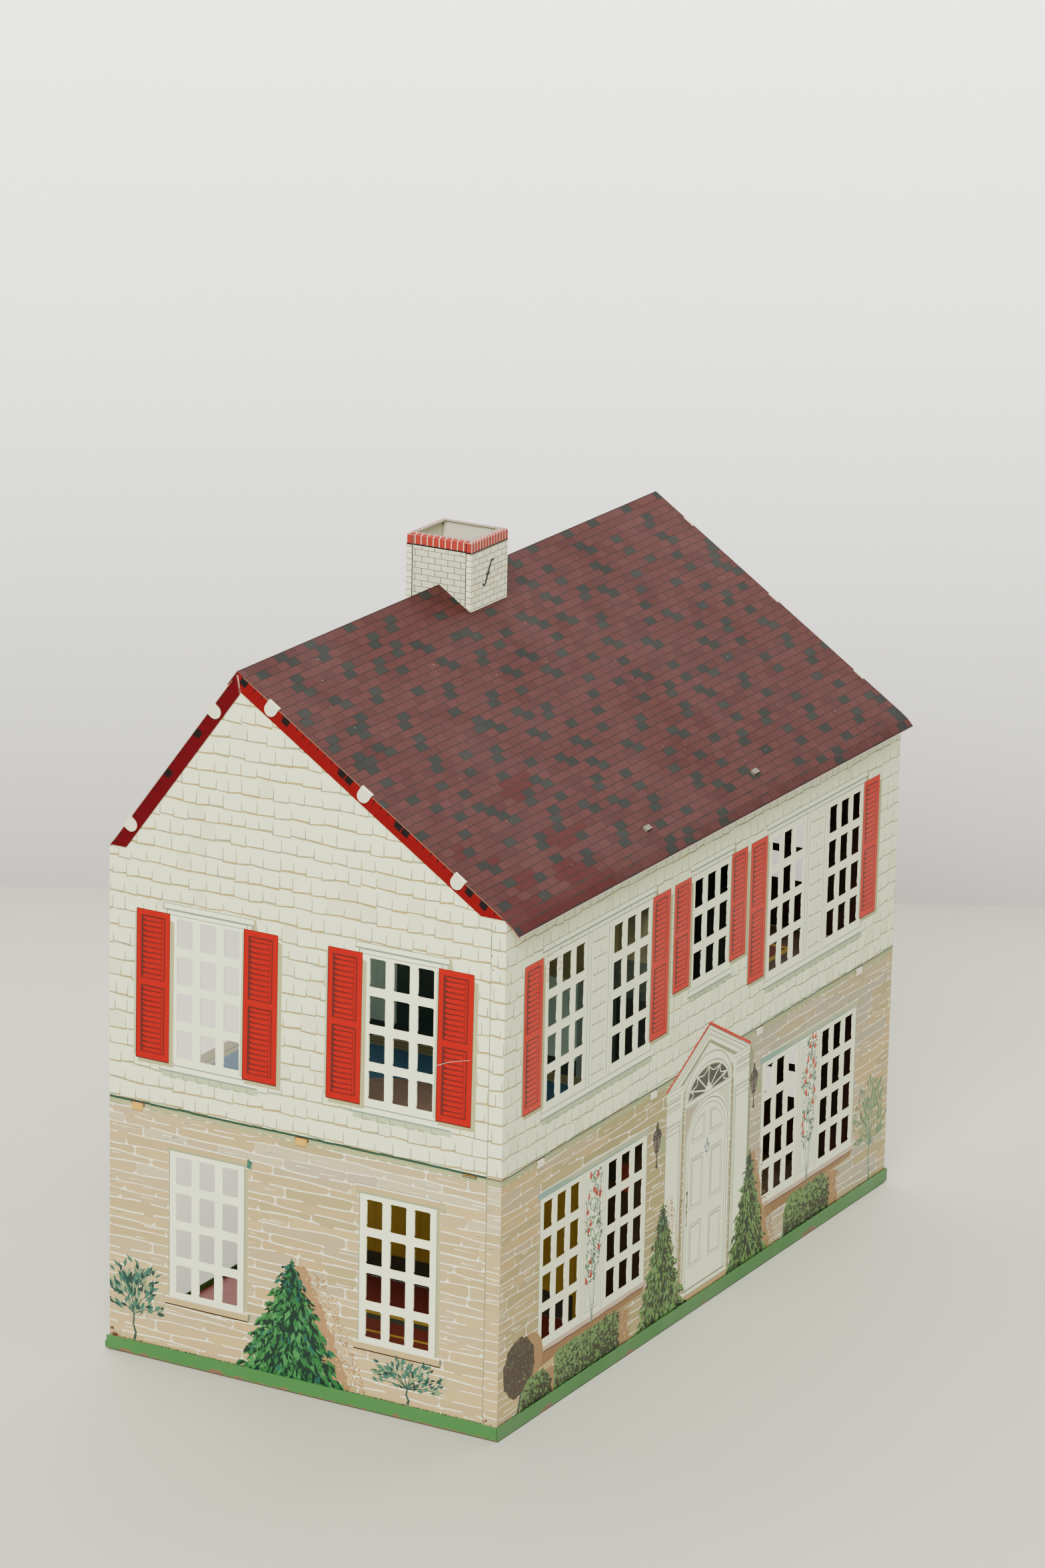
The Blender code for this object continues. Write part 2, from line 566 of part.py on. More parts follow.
def front_roof():
    """The front slope: eave strip, slope, ridge flange over the rear slope, and rake flanges."""
    eave_tip = EAVE_FRONT + Vector((0, -EAVE_REACH, -EAVE_DROP))
    eave_bend = EAVE_FRONT + Vector((0, -0.52 * EAVE_REACH, -0.42 * EAVE_DROP))
    flange_start = EAVE_FRONT + UP_FRONT * ((RAKE_FLANGE_BOTTOM - WALL_TOP) / UP_FRONT.z)
    flange_end = RIDGE - UP_FRONT * MITRE_GAP
    ridge_end = RIDGE + DOWN_REAR * RIDGE_FLANGE
    section = [eave_tip, eave_bend, EAVE_FRONT]
    panels = [[at_x(-HALF, EAVE_FRONT), at_x(-HALF, flange_start), at_x(-HALF, flange_end),
               at_x(-HALF, RIDGE), at_x(HALF, RIDGE), at_x(HALF, flange_end),
               at_x(HALF, flange_start), at_x(HALF, EAVE_FRONT)]]
    for first, second in zip(section[:-1], section[1:]):
        panels.append([at_x(-HALF, first), at_x(-HALF, second), at_x(HALF, second), at_x(HALF, first)])
    panels.append([at_x(-HALF, RIDGE), at_x(-HALF, ridge_end), at_x(HALF, ridge_end), at_x(HALF, RIDGE)])
    inner_line = EAVE_FRONT - FRONT_NORMAL * RAKE_FLANGE
    mitre = meet(inner_line, UP_FRONT, RIDGE - REAR_NORMAL * RAKE_FLANGE, DOWN_REAR) - UP_FRONT * MITRE_GAP
    inner_start = inner_line + UP_FRONT * ((RAKE_FLANGE_BOTTOM - inner_line.z) / UP_FRONT.z)
    for side in (-1, 1):
        edges = (flange_start, flange_end, mitre, inner_start)
        panels.append([at_x(side * HALF, point) for point in edges])
    roof = folded_sheet("front_roof", panels, FRONT_NORMAL, "maroon_tiles")
    holes = bmesh.new()
    rake_slots(holes, EAVE_FRONT, UP_FRONT, FRONT_NORMAL, RAKE_TABS_FRONT, 0)
    partition_slot(holes, roof_tab_places()[0])
    chimney_opening(holes)
    punch(roof, holes)
    return roof


def rear_roof():
    """The steeper rear slope, under the ridge flange, with a hem along its eave."""
    line = RIDGE - REAR_NORMAL * LAYER
    top = line + DOWN_REAR * REAR_ROOF_START
    eave = line + DOWN_REAR * REAR_SLOPE
    flange_start = line + DOWN_REAR * (REAR_ROOF_START + 0.0004)
    flange_end = line + DOWN_REAR * ((line.z - RAKE_FLANGE_BOTTOM) / -DOWN_REAR.z)
    hem_x = HALF - REAR_HEM_INSET
    outline = [at_x(-HALF, top), at_x(-HALF, flange_start), at_x(-HALF, flange_end), at_x(-HALF, eave),
               at_x(-hem_x, eave), at_x(hem_x, eave), at_x(HALF, eave), at_x(HALF, flange_end),
               at_x(HALF, flange_start), at_x(HALF, top)]
    inner_line = RIDGE - REAR_NORMAL * (RAKE_FLANGE + LAYER)
    front_inner = EAVE_FRONT - FRONT_NORMAL * RAKE_FLANGE
    mitre = meet(inner_line, DOWN_REAR, front_inner, UP_FRONT) + DOWN_REAR * (2 * MITRE_GAP)
    inner_end = inner_line + DOWN_REAR * ((inner_line.z - RAKE_FLANGE_BOTTOM) / -DOWN_REAR.z)
    panels = [outline]
    for side in (-1, 1):
        panels.append([at_x(side * HALF, point) for point in (flange_start, flange_end, inner_end, mitre)])
    hem_edge = eave - REAR_NORMAL * (2 * SHEET + GAP)
    hem_end = hem_edge - DOWN_REAR * REAR_HEM
    for first, second in ((eave, hem_edge), (hem_edge, hem_end)):
        panels.append([at_x(-hem_x, first), at_x(hem_x, first), at_x(hem_x, second), at_x(-hem_x, second)])
    roof = folded_sheet("rear_roof", panels, REAR_NORMAL, "maroon_tiles")
    holes = bmesh.new()
    rake_slots(holes, RIDGE, DOWN_REAR, REAR_NORMAL, RAKE_TABS_REAR, -LAYER)
    partition_slot(holes, roof_tab_places()[1])
    chimney_opening(holes)
    punch(roof, holes)
    return roof


def chimney_wrap(name, facing, parent):
    """A chimney face with narrow flanges round its corners. facing is -1 front, 1 rear."""
    height = front_roof_height if facing < 0 else rear_roof_height
    face_y = RIDGE_Y + facing * CHIMNEY_HALF_DEPTH
    flange_y = face_y - facing * CHIMNEY_FLANGE
    foot = height(face_y - facing * SHEET, GAP) + 0.0001
    flange_foot = foot + height(flange_y) - height(face_y) + CHIMNEY_FLANGE_CLEARANCE - SHEET
    x_low, x_high = CHIMNEY_X - CHIMNEY_HALF_WIDTH, CHIMNEY_X + CHIMNEY_HALF_WIDTH
    roll_z = CHIMNEY_TOP - CHIMNEY_ROLL
    panels = [[(x_low, face_y, foot), (x_high, face_y, foot),
               (x_high, face_y, roll_z), (x_low, face_y, roll_z)]]
    for x in (x_low, x_high):
        panels.append([(x, face_y, foot), (x, face_y, roll_z),
                       (x, flange_y, roll_z), (x, flange_y, flange_foot)])
    panels += lip_panels(lambda across, depth, z: (CHIMNEY_X + across, face_y - facing * depth, z),
                         CHIMNEY_HALF_WIDTH, 0.0, CHIMNEY_HALF_WIDTH)
    return folded_sheet(name, panels, (0, facing, 0), "white_brick", parent)


def chimney_side(name, side, parent):
    """A chimney side plate inside the flanges. It reaches down through the roof's opening."""
    face_x = CHIMNEY_X + side * (CHIMNEY_HALF_WIDTH - LAYER)
    half_y = CHIMNEY_HALF_DEPTH - LAYER - CHIMNEY_MITRE
    roll_z = CHIMNEY_TOP - CHIMNEY_ROLL
    peak = meet(EAVE_FRONT - FRONT_NORMAL * CHIMNEY_PLUG, UP_FRONT,
                RIDGE - REAR_NORMAL * CHIMNEY_PLUG, DOWN_REAR)
    front, rear = RIDGE_Y - half_y, RIDGE_Y + half_y
    face = [(face_x, front, roll_z), (face_x, front, front_roof_height(front, -CHIMNEY_PLUG)),
            (face_x, peak.y, peak.z), (face_x, rear, rear_roof_height(rear, -CHIMNEY_PLUG)),
            (face_x, rear, roll_z)]
    panels = [face]
    panels += lip_panels(lambda across, depth, z: (face_x - side * depth, RIDGE_Y + across, z),
                         CHIMNEY_HALF_DEPTH, LAYER, half_y)
    return folded_sheet(name, panels, (side, 0, 0), "white_brick", parent)


def lip_panels(point_at, corner, start, half_width):
    """The rolled edge and mitred lip along the top of one chimney sheet.

    point_at(across, depth, z) places a point, corner is the half width at the outer corner, and start
    is how far inside the outer face this sheet lies.
    """
    end = CHIMNEY_LIP - start
    rows = [(half_width, 0.0, CHIMNEY_TOP - CHIMNEY_ROLL)]
    for depth in (CHIMNEY_ROLL, end):
        rows.append((corner - start - depth - CHIMNEY_MITRE, depth, CHIMNEY_TOP))
    panels = []
    for (half_a, depth_a, z_a), (half_b, depth_b, z_b) in zip(rows[:-1], rows[1:]):
        panels.append([point_at(-half_a, depth_a, z_a), point_at(half_a, depth_a, z_a),
                       point_at(half_b, depth_b, z_b), point_at(-half_b, depth_b, z_b)])
    return panels


def chimney():
    """Four printed sheets that lift off the ridge together, on an empty on the lift's axis."""
    lift = bpy.data.objects.new("chimney_lift_axis", None)
    lift.location = (CHIMNEY_X, RIDGE_Y, RIDGE_TOP)
    bpy.context.scene.collection.objects.link(lift)
    bpy.context.view_layer.update()
    chimney_wrap("chimney_front", -1, lift)
    chimney_wrap("chimney_rear", 1, lift)
    chimney_side("chimney_left_side", -1, lift)
    chimney_side("chimney_right_side", 1, lift)


def main():
    clear_scene()
    ground_floor()
    front_wall()
    gable("left_gable", -1)
    gable("right_gable", 1)
    upper_floor()
    partitions()
    front_roof()
    rear_roof()
    chimney()


main()
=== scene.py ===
"""Printed tin doll's house: the CAD sheets plus the lithographed print on both sides of each sheet.

The print is flat artwork in millimetres, laid on each panel as a thin layer of plain-coloured ink.
"""

import math
import random

import bpy
import bmesh
from mathutils import Matrix, Vector
from mathutils.geometry import delaunay_2d_cdt


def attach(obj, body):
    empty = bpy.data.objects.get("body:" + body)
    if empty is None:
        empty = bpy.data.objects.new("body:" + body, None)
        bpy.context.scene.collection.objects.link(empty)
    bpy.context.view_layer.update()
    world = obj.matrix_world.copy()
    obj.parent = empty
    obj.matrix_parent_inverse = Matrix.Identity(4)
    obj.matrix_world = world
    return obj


MM = 0.001

# The house, in millimetres (row frame: front wall at -Y, open back at +Y)
HALF = 191.25                # outer face of the front wall's side flanges
GABLE_X = 190.55             # outer face of the gables
FRONT_Y = -98.85
REAR_Y = 104.15
RIDGE_Y = 37.85
WALL_TOP = 240.0
RIDGE_TOP = 330.0
SHEET = 0.4                  # thickness of the tin
LAYER = 0.7                  # one sheet over another, bend included
DEPTH = REAR_Y - FRONT_Y
CORNER_FLANGE = 7.4          # the front wall's flange on each gable
FRONT_SLOPE = math.hypot(RIDGE_Y - FRONT_Y, RIDGE_TOP - WALL_TOP)
REAR_SLOPE = math.hypot(REAR_Y - RIDGE_Y, RIDGE_TOP - WALL_TOP)
UP_FRONT = Vector((0, RIDGE_Y - FRONT_Y, RIDGE_TOP - WALL_TOP)).normalized()
UP_REAR = Vector((0, RIDGE_Y - REAR_Y, RIDGE_TOP - WALL_TOP)).normalized()
STOREY = 121.9               # printed line between stones and shingles
INK = 0.06                   # print above its sheet
PANE = (8.4, 13.3)           # punched opening, width and height
PANE_CORNER = 0.4
PITCH = (12.2, 17.25)        # from pane to pane
UPPER_SILL = 146.3           # bottom of the lowest panes, upstairs and downstairs
LOWER_SILL = 34.5
PRINT_SHIFT = -1.3           # how far the front wall's slots stand left of the middle
FRONT_WINDOWS = (-136.5, -77.4, 74.8, 133.9)
MIDDLE_WINDOW = -1.3
GABLE_MIDDLE = DEPTH / 2
GABLE_WINDOWS = (GABLE_MIDDLE - 49.6, GABLE_MIDDLE + 49.6)
PARTITIONS = (-55.2, 49.0)
LOWER_PARTITION = -53.2

# Printing inks: linear albedo
INKS = {
    "shingle": (0.735, 0.79, 0.52), "shingle_b": (0.68, 0.72, 0.46), "shingle_c": (0.75, 0.78, 0.54),
    "line_tan": (0.34, 0.265, 0.1), "line_sage": (0.26, 0.3, 0.145), "line_grey": (0.2, 0.225, 0.155),
    "line_dark": (0.12, 0.14, 0.1), "line_front": (0.23, 0.265, 0.155), "stone_a": (0.35, 0.28, 0.125),
    "stone_b": (0.32, 0.265, 0.112), "stone_c": (0.415, 0.31, 0.138), "stone_d": (0.44, 0.31, 0.13),
    "stone_e": (0.29, 0.25, 0.11), "stone_f": (0.39, 0.31, 0.17), "mortar": (0.76, 0.75, 0.54),
    "frame": (0.78, 0.84, 0.58), "frame_line": (0.22, 0.25, 0.16), "door_line": (0.17, 0.187, 0.125),
    "frame_shade": (0.6, 0.62, 0.4), "red": (0.465, 0.013, 0.006), "red_line": (0.07, 0.012, 0.01),
    "dark_line": (0.03, 0.02, 0.015), "storey": (0.06, 0.1, 0.075), "fir": (0.022, 0.112, 0.032),
    "fir_dark": (0.014, 0.022, 0.014), "fir_light": (0.135, 0.265, 0.07), "fir_teal": (0.05, 0.14, 0.085),
    "fir_olive": (0.09, 0.185, 0.048), "fir_front": (0.055, 0.138, 0.068), "cast": (0.285, 0.165, 0.07),
    "cast_b": (0.22, 0.12, 0.048), "cast_sage": (0.335, 0.325, 0.155), "shrub": (0.035, 0.115, 0.082),
    "shrub_dark": (0.016, 0.042, 0.038), "shrub_light": (0.15, 0.23, 0.11), "trunk": (0.03, 0.06, 0.05),
    "hedge": (0.094, 0.178, 0.055), "hedge_light": (0.155, 0.265, 0.082),
    "hedge_dark": (0.03, 0.028, 0.018), "bush": (0.052, 0.036, 0.026), "bush_red": (0.21, 0.055, 0.038),
    "leaf_olive": (0.1, 0.15, 0.075), "rose": (0.4, 0.028, 0.024), "rose_dark": (0.13, 0.02, 0.02),
    "stem": (0.1, 0.19, 0.09), "glass": (0.055, 0.05, 0.042), "lantern": (0.032, 0.026, 0.027),
    "lantern_light": (0.13, 0.1, 0.085), "tile_a": (0.06, 0.0205, 0.0188),
    "tile_b": (0.066, 0.0225, 0.0205), "tile_c": (0.053, 0.018, 0.0165),
    "tile_dark": (0.019, 0.0215, 0.0195), "tile_dark_b": (0.023, 0.025, 0.0225),
    # This line and the next end with the tiles' deeper red and its dark mate, free of the painted sheen that
    # pales and greys the other tile inks
    "joint": (0.02, 0.013, 0.0118), "joint_light": (0.05, 0.026, 0.023), "sheen_free": (0.056, 0.0125, 0.0115),
    "sheen_free_dark": (0.02, 0.02, 0.018), "rake_red": (0.15, 0.006, 0.008),
    "rake_black": (0.012, 0.009, 0.009), "brick": (0.8, 0.8, 0.54), "brick_b": (0.72, 0.71, 0.47),
    "brick_line": (0.09, 0.095, 0.075), "brick_side": (0.62, 0.62, 0.42),
    "brick_side_b": (0.56, 0.56, 0.38), "soldier": (0.31, 0.026, 0.02), "anchor": (0.03, 0.03, 0.03),
    "mustard": (0.43, 0.3, 0.045), "mustard_b": (0.38, 0.26, 0.04), "skirting": (0.05, 0.055, 0.042),
    "brick_red": (0.16, 0.03, 0.02), "teal": (0.4, 0.53, 0.46), "teal_b": (0.37, 0.5, 0.43),
    "teal_dark": (0.03, 0.05, 0.042), "carpet": (0.03, 0.088, 0.135), "carpet_b": (0.037, 0.1, 0.155),
    "olive": (0.22, 0.2, 0.1), "olive_b": (0.24, 0.215, 0.105), "rug": (0.165, 0.11, 0.078),
    "rug_b": (0.2, 0.14, 0.1), "boards": (0.1, 0.06, 0.03), "boards_b": (0.08, 0.048, 0.024),
    "curtain": (0.55, 0.5, 0.36), "rust": (0.1, 0.042, 0.022), "rust_dark": (0.045, 0.022, 0.015),
    # The pale rust at the start of this line also paints the highlight along the roof's rake folds
    "pale_rust_and_highlight": (0.3, 0.19, 0.11), "stone_g": (0.36, 0.315, 0.215), "stone_h": (0.33, 0.3, 0.205),
    "stone_i": (0.4, 0.335, 0.225), "fir_deep": (0.02, 0.023, 0.014), "orange": (0.48, 0.25, 0.085),
    "rose_bright": (0.55, 0.035, 0.025), "stem_teal": (0.055, 0.16, 0.12), "lintel_teal": (0.17, 0.3, 0.24),
    "lintel_sage": (0.35, 0.38, 0.23), "sill_stone": (0.47, 0.38, 0.27), "sill_line": (0.13, 0.045, 0.035),
    "teal_line": (0.165, 0.235, 0.18), "knocker": (0.1, 0.13, 0.17), "sage_band": (0.38, 0.45, 0.25),
    # Painted shade for the rooms' dark front corners: the dimmed teal, olive and mustard and the near-black,
    # on this line and the next
    "shaded_teal": (0.06, 0.075, 0.06), "shaded_olive": (0.15, 0.14, 0.085), "deep_shade": (0.014, 0.018, 0.014),
    "shaded_mustard": (0.13, 0.09, 0.016), "umber": (0.03, 0.019, 0.009), "wine": (0.055, 0.022, 0.016),
    "wine_b": (0.045, 0.018, 0.013), "bottle": (0.022, 0.03, 0.022), "bottle_b": (0.018, 0.025, 0.018),
    "plum": (0.05, 0.02, 0.016), "plum_b": (0.042, 0.016, 0.013), "blush": (0.62, 0.45, 0.34),
    "storey_brown": (0.12, 0.075, 0.05), "red_deep": (0.32, 0.0015, 0.001), "stone_w": (0.48, 0.352, 0.15),
    # The three dimmed teals from the end of this line are painted shade for the upper left room's front
    # corner
    "stone_x": (0.455, 0.33, 0.155), "stone_y": (0.43, 0.33, 0.165), "shaded_teal_1": (0.035, 0.05, 0.044),
    "shaded_teal_2": (0.08, 0.11, 0.095), "shaded_teal_3": (0.19, 0.255, 0.22), "storey_dark": (0.02, 0.05, 0.032),
    "fir_deep_g": (0.008, 0.024, 0.016), "fir_bright": (0.042, 0.185, 0.052),
    "fir_blue": (0.016, 0.085, 0.062), "floor_red": (0.15, 0.026, 0.018),
    # The greyed soldier red at the end of this line is a painted sheen for the top of the chimney's rim
    "door_shadow": (0.21, 0.215, 0.115), "stone_j": (0.47, 0.41, 0.235), "soldier_top_sheen": (0.2, 0.05, 0.042),
    "rake_deep": (0.085, 0.004, 0.007), "tin": (0.4, 0.38, 0.33), "scratch": (0.55, 0.5, 0.42),
}


# --- Materials ---

def new_material(name, colour=(0.8, 0.8, 0.8)):
    """A material of one colour, with its node tree and its shader."""
    material = bpy.data.materials.new(name)
    material.use_nodes = True
    shader = material.node_tree.nodes["Principled BSDF"]
    shader.inputs["Base Color"].default_value = (*colour, 1)
    return material, material.node_tree, shader


def object_position(tree):
    """The point in object space, whole and as its three measures."""
    position = tree.nodes.new("ShaderNodeTexCoord").outputs["Object"]
    split = tree.nodes.new("ShaderNodeSeparateXYZ")
    tree.links.new(position, split.inputs[0])
    return position, split.outputs


def maths(tree, operation, *values):
    """A maths node's result. values are numbers or sockets."""
    node = tree.nodes.new("ShaderNodeMath")
    node.operation = operation
    for value, socket in zip(values, node.inputs):
        if isinstance(value, bpy.types.NodeSocket):
            tree.links.new(value, socket)
        else:
            socket.default_value = value
    return node.outputs[0]


def mixed(tree, factor, first, second):
    """Two colours mixed. Each is a colour or a socket."""
    node = tree.nodes.new("ShaderNodeMix")
    node.data_type = "RGBA"
    tree.links.new(factor, node.inputs["Factor"])
    for value, socket in ((first, node.inputs[6]), (second, node.inputs[7])):
        if isinstance(value, bpy.types.NodeSocket):
            tree.links.new(value, socket)
        else:
            socket.default_value = (*value, 1)
    return node.outputs[2]


def noise_value(tree, coordinates, scale, detail, roughness=0.5):
    """A noise texture's value in object space."""
    texture = tree.nodes.new("ShaderNodeTexNoise")
    texture.inputs["Scale"].default_value = scale
    texture.inputs["Detail"].default_value = detail
    texture.inputs["Roughness"].default_value = roughness
    tree.links.new(coordinates, texture.inputs["Vector"])
    return texture.outputs["Fac"]


def remap(tree, value, low, high, out_low, out_high):
    """The value, carried from one range to another and held inside it."""
    node = tree.nodes.new("ShaderNodeMapRange")
    tree.links.new(value, node.inputs["Value"])
    limits = {"From Min": low, "From Max": high, "To Min": out_low, "To Max": out_high}
    for key, limit in limits.items():
        node.inputs[key].default_value = limit
    return node.outputs["Result"]


def printed_surface(tree, shader, rough_low, rough_high, coat, gloss=0.3):
    """Varnished print: uneven gloss and the slight waviness of thin sheet."""
    coordinates = tree.nodes.new("ShaderNodeTexCoord").outputs["Object"]
    wear = noise_value(tree, coordinates, 26.0, 4.0, 0.6)
    tree.links.new(remap(tree, wear, 0.35, 0.65, rough_low, rough_high), shader.inputs["Roughness"])
    waves = noise_value(tree, coordinates, 11.0, 1.0)
    bump = tree.nodes.new("ShaderNodeBump")
    bump.inputs["Strength"].default_value = 0.25
    bump.inputs["Distance"].default_value = 0.0012
    tree.links.new(waves, bump.inputs["Height"])
    tree.links.new(bump.outputs["Normal"], shader.inputs["Normal"])
    shader.inputs["Specular IOR Level"].default_value = gloss
    shader.inputs["Coat Weight"].default_value = coat
    shader.inputs["Coat Roughness"].default_value = 0.22


# Finish: lowest and highest roughness, specular level
FINISHES = {"wall": (0.34, 0.5, 0.17), "roof": (0.4, 0.55, 0.02), "inside": (0.42, 0.55, 0.2)}


def ink_material(name, finish):
    """One ink as a material."""
    key = "ink_" + name + ("" if finish == "wall" else "_" + finish)
    if key in bpy.data.materials:
        return bpy.data.materials[key]
    material, tree, shader = new_material(key, INKS[name])
    low, high, gloss = FINISHES[finish]
    printed_surface(tree, shader, low, high, 0.0, gloss)
    material.diffuse_color = (*INKS[name], 1)
    return material


# --- Print: flat artwork on one panel ---

def rectangle(u0, v0, u1, v1):
    """Four corners, anticlockwise from the lower left."""
    return [(u0, v0), (u1, v0), (u1, v1), (u0, v1)]


def add_object(name, data):
    """A new object in the scene."""
    obj = bpy.data.objects.new(name, data)
    bpy.context.scene.collection.objects.link(obj)
    return obj


def chance(rng, *choices):
    """One draw against rising limits: the first item whose limit is above it, else the last item."""
    pick = rng.random()
    return next(item for limit, item in choices if pick < limit)


class Print:
    """Polygons in millimetres on one panel. Later shapes cover earlier ones."""

    def __init__(self, name, origin, across, up, outline, ink, body="house", finish="wall", lift=INK):
        self.name = name
        self.origin = Vector(origin)
        self.across = Vector(across)
        self.up = Vector(up)
        self.normal = self.across.cross(self.up).normalized()
        self.body = body
        self.finish = finish
        self.lift = lift
        self.shapes = [(ink, outline)]
        self.shift = (0.0, 0.0)
        self.flip = False

    def area(self, ink, points):
        if len(points) >= 3:
            du, dv = self.shift
            sign = -1 if self.flip else 1
            self.shapes.append((ink, [(sign * u + du, v + dv) for u, v in points]))

    def at(self, du, dv, flip=False):
        """Later shapes are drawn about this point, mirrored if flip."""
        self.shift = (du, dv)
        self.flip = flip

    def box(self, ink, u0, v0, u1, v1):
        self.area(ink, rectangle(u0, v0, u1, v1))

    def disc(self, ink, u, v, ru, rv, steps, turn=0.0):
        """An oval of so many steps, turned about its middle."""
        cos, sin = math.cos(turn), math.sin(turn)
        points = []
        for step in range(steps):
            angle = 2 * math.pi * step / steps
            x, y = ru * math.cos(angle), rv * math.sin(angle)
            points.append((u + x * cos - y * sin, v + x * sin + y * cos))
        self.area(ink, points)

    def line(self, ink, points, width, end_width=None):
        """A polyline of quads, tapering from width to end_width."""
        end_width = width if end_width is None else end_width
        count = len(points) - 1
        sides = []
        for index, (u, v) in enumerate(points):
            before = points[max(index - 1, 0)]
            after = points[min(index + 1, count)]
            du, dv = after[0] - before[0], after[1] - before[1]
            size = math.hypot(du, dv) or 1.0
            half = (width + (end_width - width) * index / count) / 2
            across, up = dv / size * half, du / size * half
            sides.append(((u - across, v + up), (u + across, v - up)))
        for (a, b), (c, d) in zip(sides[:-1], sides[1:]):
            self.area(ink, [b, d, c, a])

    def leaf(self, ink, u, v, length, width, angle):
        """A pointed stroke that starts at (u, v)."""
        du, dv = math.cos(angle), math.sin(angle)
        half = width / 2
        wide_u, wide_v = u + du * length * 0.45, v + dv * length * 0.45
        self.area(ink, [(u, v), (wide_u + dv * half, wide_v - du * half),
                        (u + du * length, v + dv * length), (wide_u - dv * half, wide_v + du * half)])

    def hole(self, points):
        self.area(None, points)

    @staticmethod
    def wound(face, corners):
        """The same outline, anticlockwise at its lowest corner, which comes last."""
        if len(face) < 3:
            return face
        low = min(range(len(face)), key=lambda k: (corners[face[k]].y, corners[face[k]].x))
        before, here, after = (corners[face[(low + step) % len(face)]] for step in (-1, 0, 1))
        turned = face[low + 1:] + face[:low + 1]
        if (here - before).cross(after - here) < 0:
            turned = list(reversed(turned[:-1])) + turned[-1:]
        return turned

    def build(self):
        """Flatten the shapes into one mesh with a material per ink."""
        corners = []
        seen = {}
        faces = []
        for _, points in self.shapes:
            face = []
            for point in points:
                key = (round(point[0], 3), round(point[1], 3))
                if key not in seen:
                    seen[key] = len(corners)
                    corners.append(Vector(key))
                if not face or face[-1] != seen[key]:
                    face.append(seen[key])
            if len(face) > 1 and face[0] == face[-1]:
                face.pop()
            faces.append(self.wound(face, corners))
        kept = [(index, face) for index, face in enumerate(faces) if len(set(face)) >= 3]
        flat = delaunay_2d_cdt(corners, [], [face for _, face in kept], 1, 1e-5, True)
        base = next(number for number, (index, _) in enumerate(kept) if index == 0)
        slots = {}
        triangles = []
        materials = []
        for face, sources in zip(flat[2], flat[5]):
            if base not in sources:
                continue
            ink = self.shapes[kept[max(sources)][0]][0]
            if ink is None:
                continue
            materials.append(slots.setdefault(ink, len(slots)))
            triangles.append(face)
        points = []
        for u, v in flat[0]:
            points.append((self.origin + self.across * u + self.up * v + self.normal * self.lift) * MM)
        mesh = bpy.data.meshes.new(self.name)
        mesh.from_pydata(points, [], triangles)
        for ink in slots:
            mesh.materials.append(ink_material(ink, self.finish))
        mesh.polygons.foreach_set("material_index", materials)
        work = bmesh.new()
        work.from_mesh(mesh)
        loose = [vert for vert in work.verts if not vert.link_faces]
        bmesh.ops.delete(work, geom=loose, context="VERTS")
        bad = [face for face in work.faces if face.calc_area() < 1e-13]
        bmesh.ops.delete(work, geom=bad, context="FACES_ONLY")
        for face in work.faces:
            face.normal_update()
            if face.normal.dot(self.normal) < 0:
                face.normal_flip()
        work.to_mesh(mesh)
        work.free()
        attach(add_object(self.name, mesh), self.body)


# --- Motifs ---

SHINGLE_COURSE = 8.0


def shingle_line(rng, warm, is_warm_end):
    """The ink of one shingle's lower edge."""
    if rng.random() < (0.85 if is_warm_end else warm):
        return "line_tan"
    return "line_sage" if warm > 0.5 or rng.random() < 0.4 else "line_front"


def shingles(art, u0, u1, v0, v1, seed, warm, warm_until):
    """Wood shingles: courses of uneven width, each with a shaded lower edge, a short joint and faint grain.

    warm is the share of tan lines. Left of warm_until nearly all the lines are tan.
    """
    rng = random.Random(seed)
    thickness = (0.7, 1.25) if warm > 0.5 else (0.45, 0.85)
    for row in range(int(math.ceil((v1 - v0) / SHINGLE_COURSE))):
        low = v0 + row * SHINGLE_COURSE
        high = low + SHINGLE_COURSE
        u = u0 - rng.uniform(0, 8)
        wave = rng.uniform(0, 6)
        while u < u1:
            width = rng.uniform(6.0, 9.8)
            end = u + width - 0.1
            drop = 0.4 * math.sin(u * 0.05 + wave) + rng.uniform(-0.45, 0.45)
            tilt = rng.uniform(-0.4, 0.4)
            left, right = low + drop - tilt, low + drop + tilt
            if rng.random() < 0.16:
                tint = rng.choice(("shingle_b", "shingle_c"))
                art.area(tint, [(u, left), (u + width, right), (u + width, high), (u, high)])
            line = shingle_line(rng, warm, warm_until is not None and u < warm_until + rng.uniform(-12, 12))
            thick = rng.uniform(*thickness)
            art.area(line, [(u, left), (end, right), (end, right + thick), (u, left + thick * 0.7)])
            if rng.random() < 0.3:
                a = u + rng.uniform(0, width * 0.4)
                b = a + width * 0.45
                middle = (left + right) / 2
                art.area("line_grey", [(a, left + 0.1), (b, middle + 0.1), (b, middle + 0.4),
                                       (a, left + 0.4)])
            for _ in range(2):
                x = u + rng.uniform(1, width - 1)
                y = left + rng.uniform(0.6, 1.4)
                tip = y + rng.uniform(1.5, 4.5)
                art.area("shingle_b", [(x - 0.1, y), (x + 0.1, y), (x + 0.05, tip), (x - 0.05, y + 2)])
            top = low + SHINGLE_COURSE * rng.uniform(0.45, 0.85)
            lean = rng.uniform(-0.25, 0.25)
            joint = line if rng.random() < 0.7 else "line_grey"
            art.area(joint, [(u - 0.3, left), (u + 0.3, left), (u + 0.14 + lean, top),
                             (u - 0.14 + lean, top)])
            u += width


